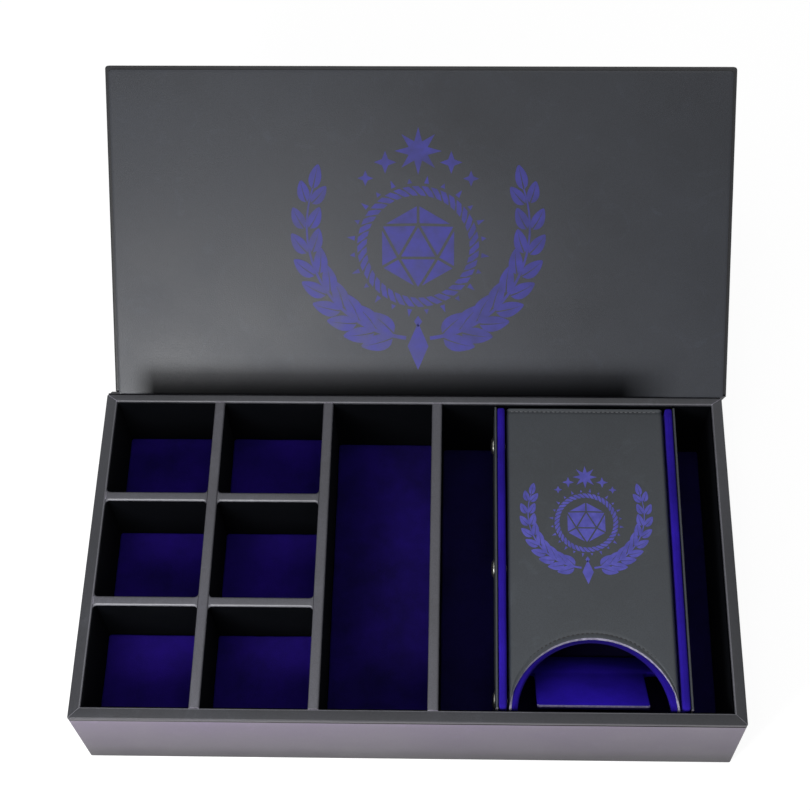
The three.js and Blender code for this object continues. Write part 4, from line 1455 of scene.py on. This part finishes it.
def addSnap(node, sign):
    low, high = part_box(node)
    rim, shank, lift = snap["rim"], snap["shank"], snap["lift"]
    radius = (high.z - low.z) / 2
    wallX = skinLow.x if sign < 0 else skinHigh.x
    tip = abs((low.x if sign < 0 else high.x) - wallX)
    inner = abs((high.x if sign < 0 else low.x) - wallX)
    profile = [(0.0, tip)]
    for turn in turnsFrom(0, 90, snap["domeSteps"])[1:]:
        dome = rim + (tip - rim) * math.cos(turn) ** snap["domePower"]
        profile.append(((radius - 2 * rim) * math.sin(turn), dome))
    profile += [(radius + out * rim, rise * rim) for out, rise in snap["rimProfile"]]
    profile += [(radius - snap["rimFoot"] * rim, lift), (shank, lift), (shank, -inner), (0.0, -inner)]
    bm = bmesh.new()
    origin = Vector((wallX, (low.y + high.y) / 2, (low.z + high.z) / 2))
    revolve(bm, profile, origin, Vector((sign, 0, 0)), snap["sides"])
    piece = makePiece(node + "_nickel", bm, "tower", ["nickel"], sharp=50)
    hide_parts(node)


for side, sign in (("left", -1), ("right", 1)):
    for i in range(1, 4):
        addSnap(side + "_snap_cap_" + str(i), sign)
        dress(side + "_snap_stud_" + str(i), "nickel")
print("ramps and snaps fitted")

# Printed emblem: a twenty-sided die in a twisted ring, between two laurel branches, under a star
emblem = {
    "dieRadius": 23.0,
    "faceShare": 0.52,
    "gap": 0.75,
    "ring": (27.5, 32.5),
    "ringTurns": 40,
    "rays": 24,
    "rayLengths": (2.6, 4.2),
    "rayGap": 1.6,
    "rayTurn": 2.2,
    "stars": (  # centre, points, outer and inner radius
        ((0, 51), 8, 12.5, 5.4),
        ((17.5, 45), 4, 6.0, 2.3), ((28, 36.5), 4, 4.2, 1.7),
        ((-17.5, 45), 4, 6.0, 2.3), ((-28, 36.5), 4, 4.2, 1.7),
        ((0, -54), 2, 13.0, 5.6), ((0, -40.5), 2, 3.2, 2.2),
    ),
    "stem": 2.0,
    "stemTaper": 0.6,
    "stemSteps": 32,
    "stemRadii": (46, 66),
    "stemTurns": (-82, 32),
    "stemBend": 1.6,
    "stemDrop": 4,
    "leaf": (17.0, 8.2),
    "leafTurn": 36,
    "leafCurve": 0.14,
    "leafOut": 1.4,
    "leafShrink": 0.04,
    "leaves": 9,
    "leafPlaces": (2.5, 29),
    "lastLeaf": (13.0, 5.6),
    "swell": 0.5,
    "vein": 0.4,
    "thickness": 0.03 * mm,
    "layer": 0.006 * mm,
}


def polar(radius, degrees):
    return Vector((math.cos(math.radians(degrees)), math.sin(math.radians(degrees)))) * radius


def bar(a, b, width):
    ahead = (b - a).normalized()
    side = Vector((-ahead.y, ahead.x)) * width / 2
    return [a + side, a - side, b - side, b + side]


def star(centre, points, outerRadius, innerRadius):
    return [Vector(centre) + polar(outerRadius if i % 2 == 0 else innerRadius, 90 + 180 * i / points)
            for i in range(points * 2)]


# A triangle drawn in from its sides by the gap
def facet(a, b, c):
    sides = [(b - c).length, (c - a).length, (a - b).length]
    border = sum(sides)
    centre = (a * sides[0] + b * sides[1] + c * sides[2]) / border
    area = abs((b - a).x * (c - a).y - (b - a).y * (c - a).x) / 2
    keep = 1 - emblem["gap"] * border / (2 * area)
    return [centre + (corner - centre) * keep for corner in (a, b, c)]


# The two halves of a leaf, with its vein left bare
def leaf(base, direction, length, width, curve):
    ahead = Vector((math.cos(direction), math.sin(direction)))
    side = Vector((-ahead.y, ahead.x))
    halves = []
    for sign in (1, -1):
        edge, vein = [], []
        for i in range(9):
            share = i / 8
            half = width / 2 * math.sin(math.pi * share ** 0.8) ** 0.8
            spine = base + ahead * length * share + side * curve * length * share ** 2
            edge.append(spine + side * sign * (half + emblem["swell"]))
            vein.append(spine + side * sign * emblem["vein"] * (1 - share))
        halves.append(edge + vein[::-1])
    return halves


def dieShapes():
    outer = [polar(emblem["dieRadius"], 90 + 60 * i) for i in range(6)]
    inner = [polar(emblem["dieRadius"] * emblem["faceShare"], 90 + 120 * i) for i in range(3)]
    shapes = [facet(*inner)]
    for i in range(3):
        here, following = inner[i], inner[(i + 1) % 3]
        shapes.append(facet(here, following, outer[2 * i + 1]))
        shapes.append(facet(here, outer[2 * i], outer[2 * i + 1]))
        shapes.append(facet(here, outer[2 * i], outer[2 * i - 1]))
    return shapes


def ringShapes():
    near, far = emblem["ring"]
    middle = (near + far) / 2
    step = 360 / emblem["ringTurns"]
    twist = ((near, 0), (near, 0.66), (middle, 1.25), (far, 1.66), (far, 1), (middle, 0.4))
    shapes = []
    for i in range(emblem["ringTurns"]):
        shapes.append([polar(radius, i * step + step * share) for radius, share in twist])
    begin, half = far + emblem["rayGap"], emblem["rayTurn"]
    for i in range(emblem["rays"]):
        turn = 360 * (i + 0.5) / emblem["rays"]
        tip = begin + emblem["rayLengths"][i % 2]
        shapes.append([polar(begin, turn - half), polar(tip, turn), polar(begin, turn + half)])
    return shapes


# Laurel branches, mirrored left and right: each shape with its layer
def laurelShapes():
    steps, taper = emblem["stemSteps"], emblem["stemTaper"]
    (near, far), (begin, end) = emblem["stemRadii"], emblem["stemTurns"]
    firstLeaf, leafSpan = emblem["leafPlaces"]
    shapes = []
    for sign in (1, -1):
        stem = []
        for i in range(steps + 1):
            radius = near + (far - near) * (i / steps) ** emblem["stemBend"]
            place = polar(radius, begin + (end - begin) * i / steps)
            stem.append(Vector((sign * place.x, place.y - emblem["stemDrop"])))
        for i, (a, b) in enumerate(zip(stem[:-1], stem[1:])):
            shapes.append((bar(a, b, emblem["stem"] * (1 - taper * i / steps)), i % 2))
        for k in range(emblem["leaves"]):
            place = firstLeaf + leafSpan * k / (emblem["leaves"] - 0.6)
            i = min(int(place), steps - 1)
            here = stem[i].lerp(stem[i + 1], place - i)
            along = stem[i + 1] - stem[i]
            heading = math.atan2(along.y, along.x)
            length, width = (size * (1 - emblem["leafShrink"] * k) for size in emblem["leaf"])
            for turned in (1, -1):
                tilt = math.radians(emblem["leafTurn"]) * turned
                base = here + polar(emblem["leafOut"], math.degrees(heading + tilt * 2.4))
                halves = leaf(base, heading + tilt, length, width, -emblem["leafCurve"] * turned)
                for half, shape in enumerate(halves):
                    shapes.append((shape, 2 + (4 * k + turned + 1 + half) % 12))
        for half, shape in enumerate(leaf(stem[-1], heading, *emblem["lastLeaf"], 0.0)):
            shapes.append((shape, 14 + half))
    return shapes


# Shapes that cross lie in thin layers of their own
def addEmblem(name, spot, place, body, material):
    flat = dieShapes() + ringShapes() + [star(*row) for row in emblem["stars"]]
    sunk, scale = emblem["thickness"], spot["scale"]
    bm = bmesh.new()
    for shape, layer in [(shape, 0) for shape in flat] + laurelShapes():
        rise = emblem["thickness"] + layer * emblem["layer"]
        outline = [(spot["x"] + corner.x * scale, spot["y"] + corner.y * scale) for corner in shape]
        closedSkin(bm, [[place(x, y, height) for x, y in outline] for height in (-sunk, rise)])
    piece = makePiece(name, bm, body, [material])


# Middle and size of each print. The lid's is measured from a line across the shut lid.
lidEmblem = {"x": 2.6 * mm, "y": -80.0 * mm, "scale": 1.02 * mm, "line": -163 * mm}
towerEmblem = {"x": -1.0 * mm, "y": 17.5 * mm, "scale": 0.52 * mm}
lidPanelLow = shutBox("lid_lining")[0].z


def onLidPanel(x, y, rise):
    return lidPlace @ Vector((x + hinge.x, lidEmblem["line"] - y, lidPanelLow - rise))


def onTowerFront(x, y, rise):
    return Vector((x + towerMiddle, y, frontHigh.z + rise))


addEmblem("lid_emblem", lidEmblem, onLidPanel, "lid", "lidPrint")
addEmblem("tower_emblem", towerEmblem, onTowerFront, "tower", "towerPrint")
print("emblems printed")
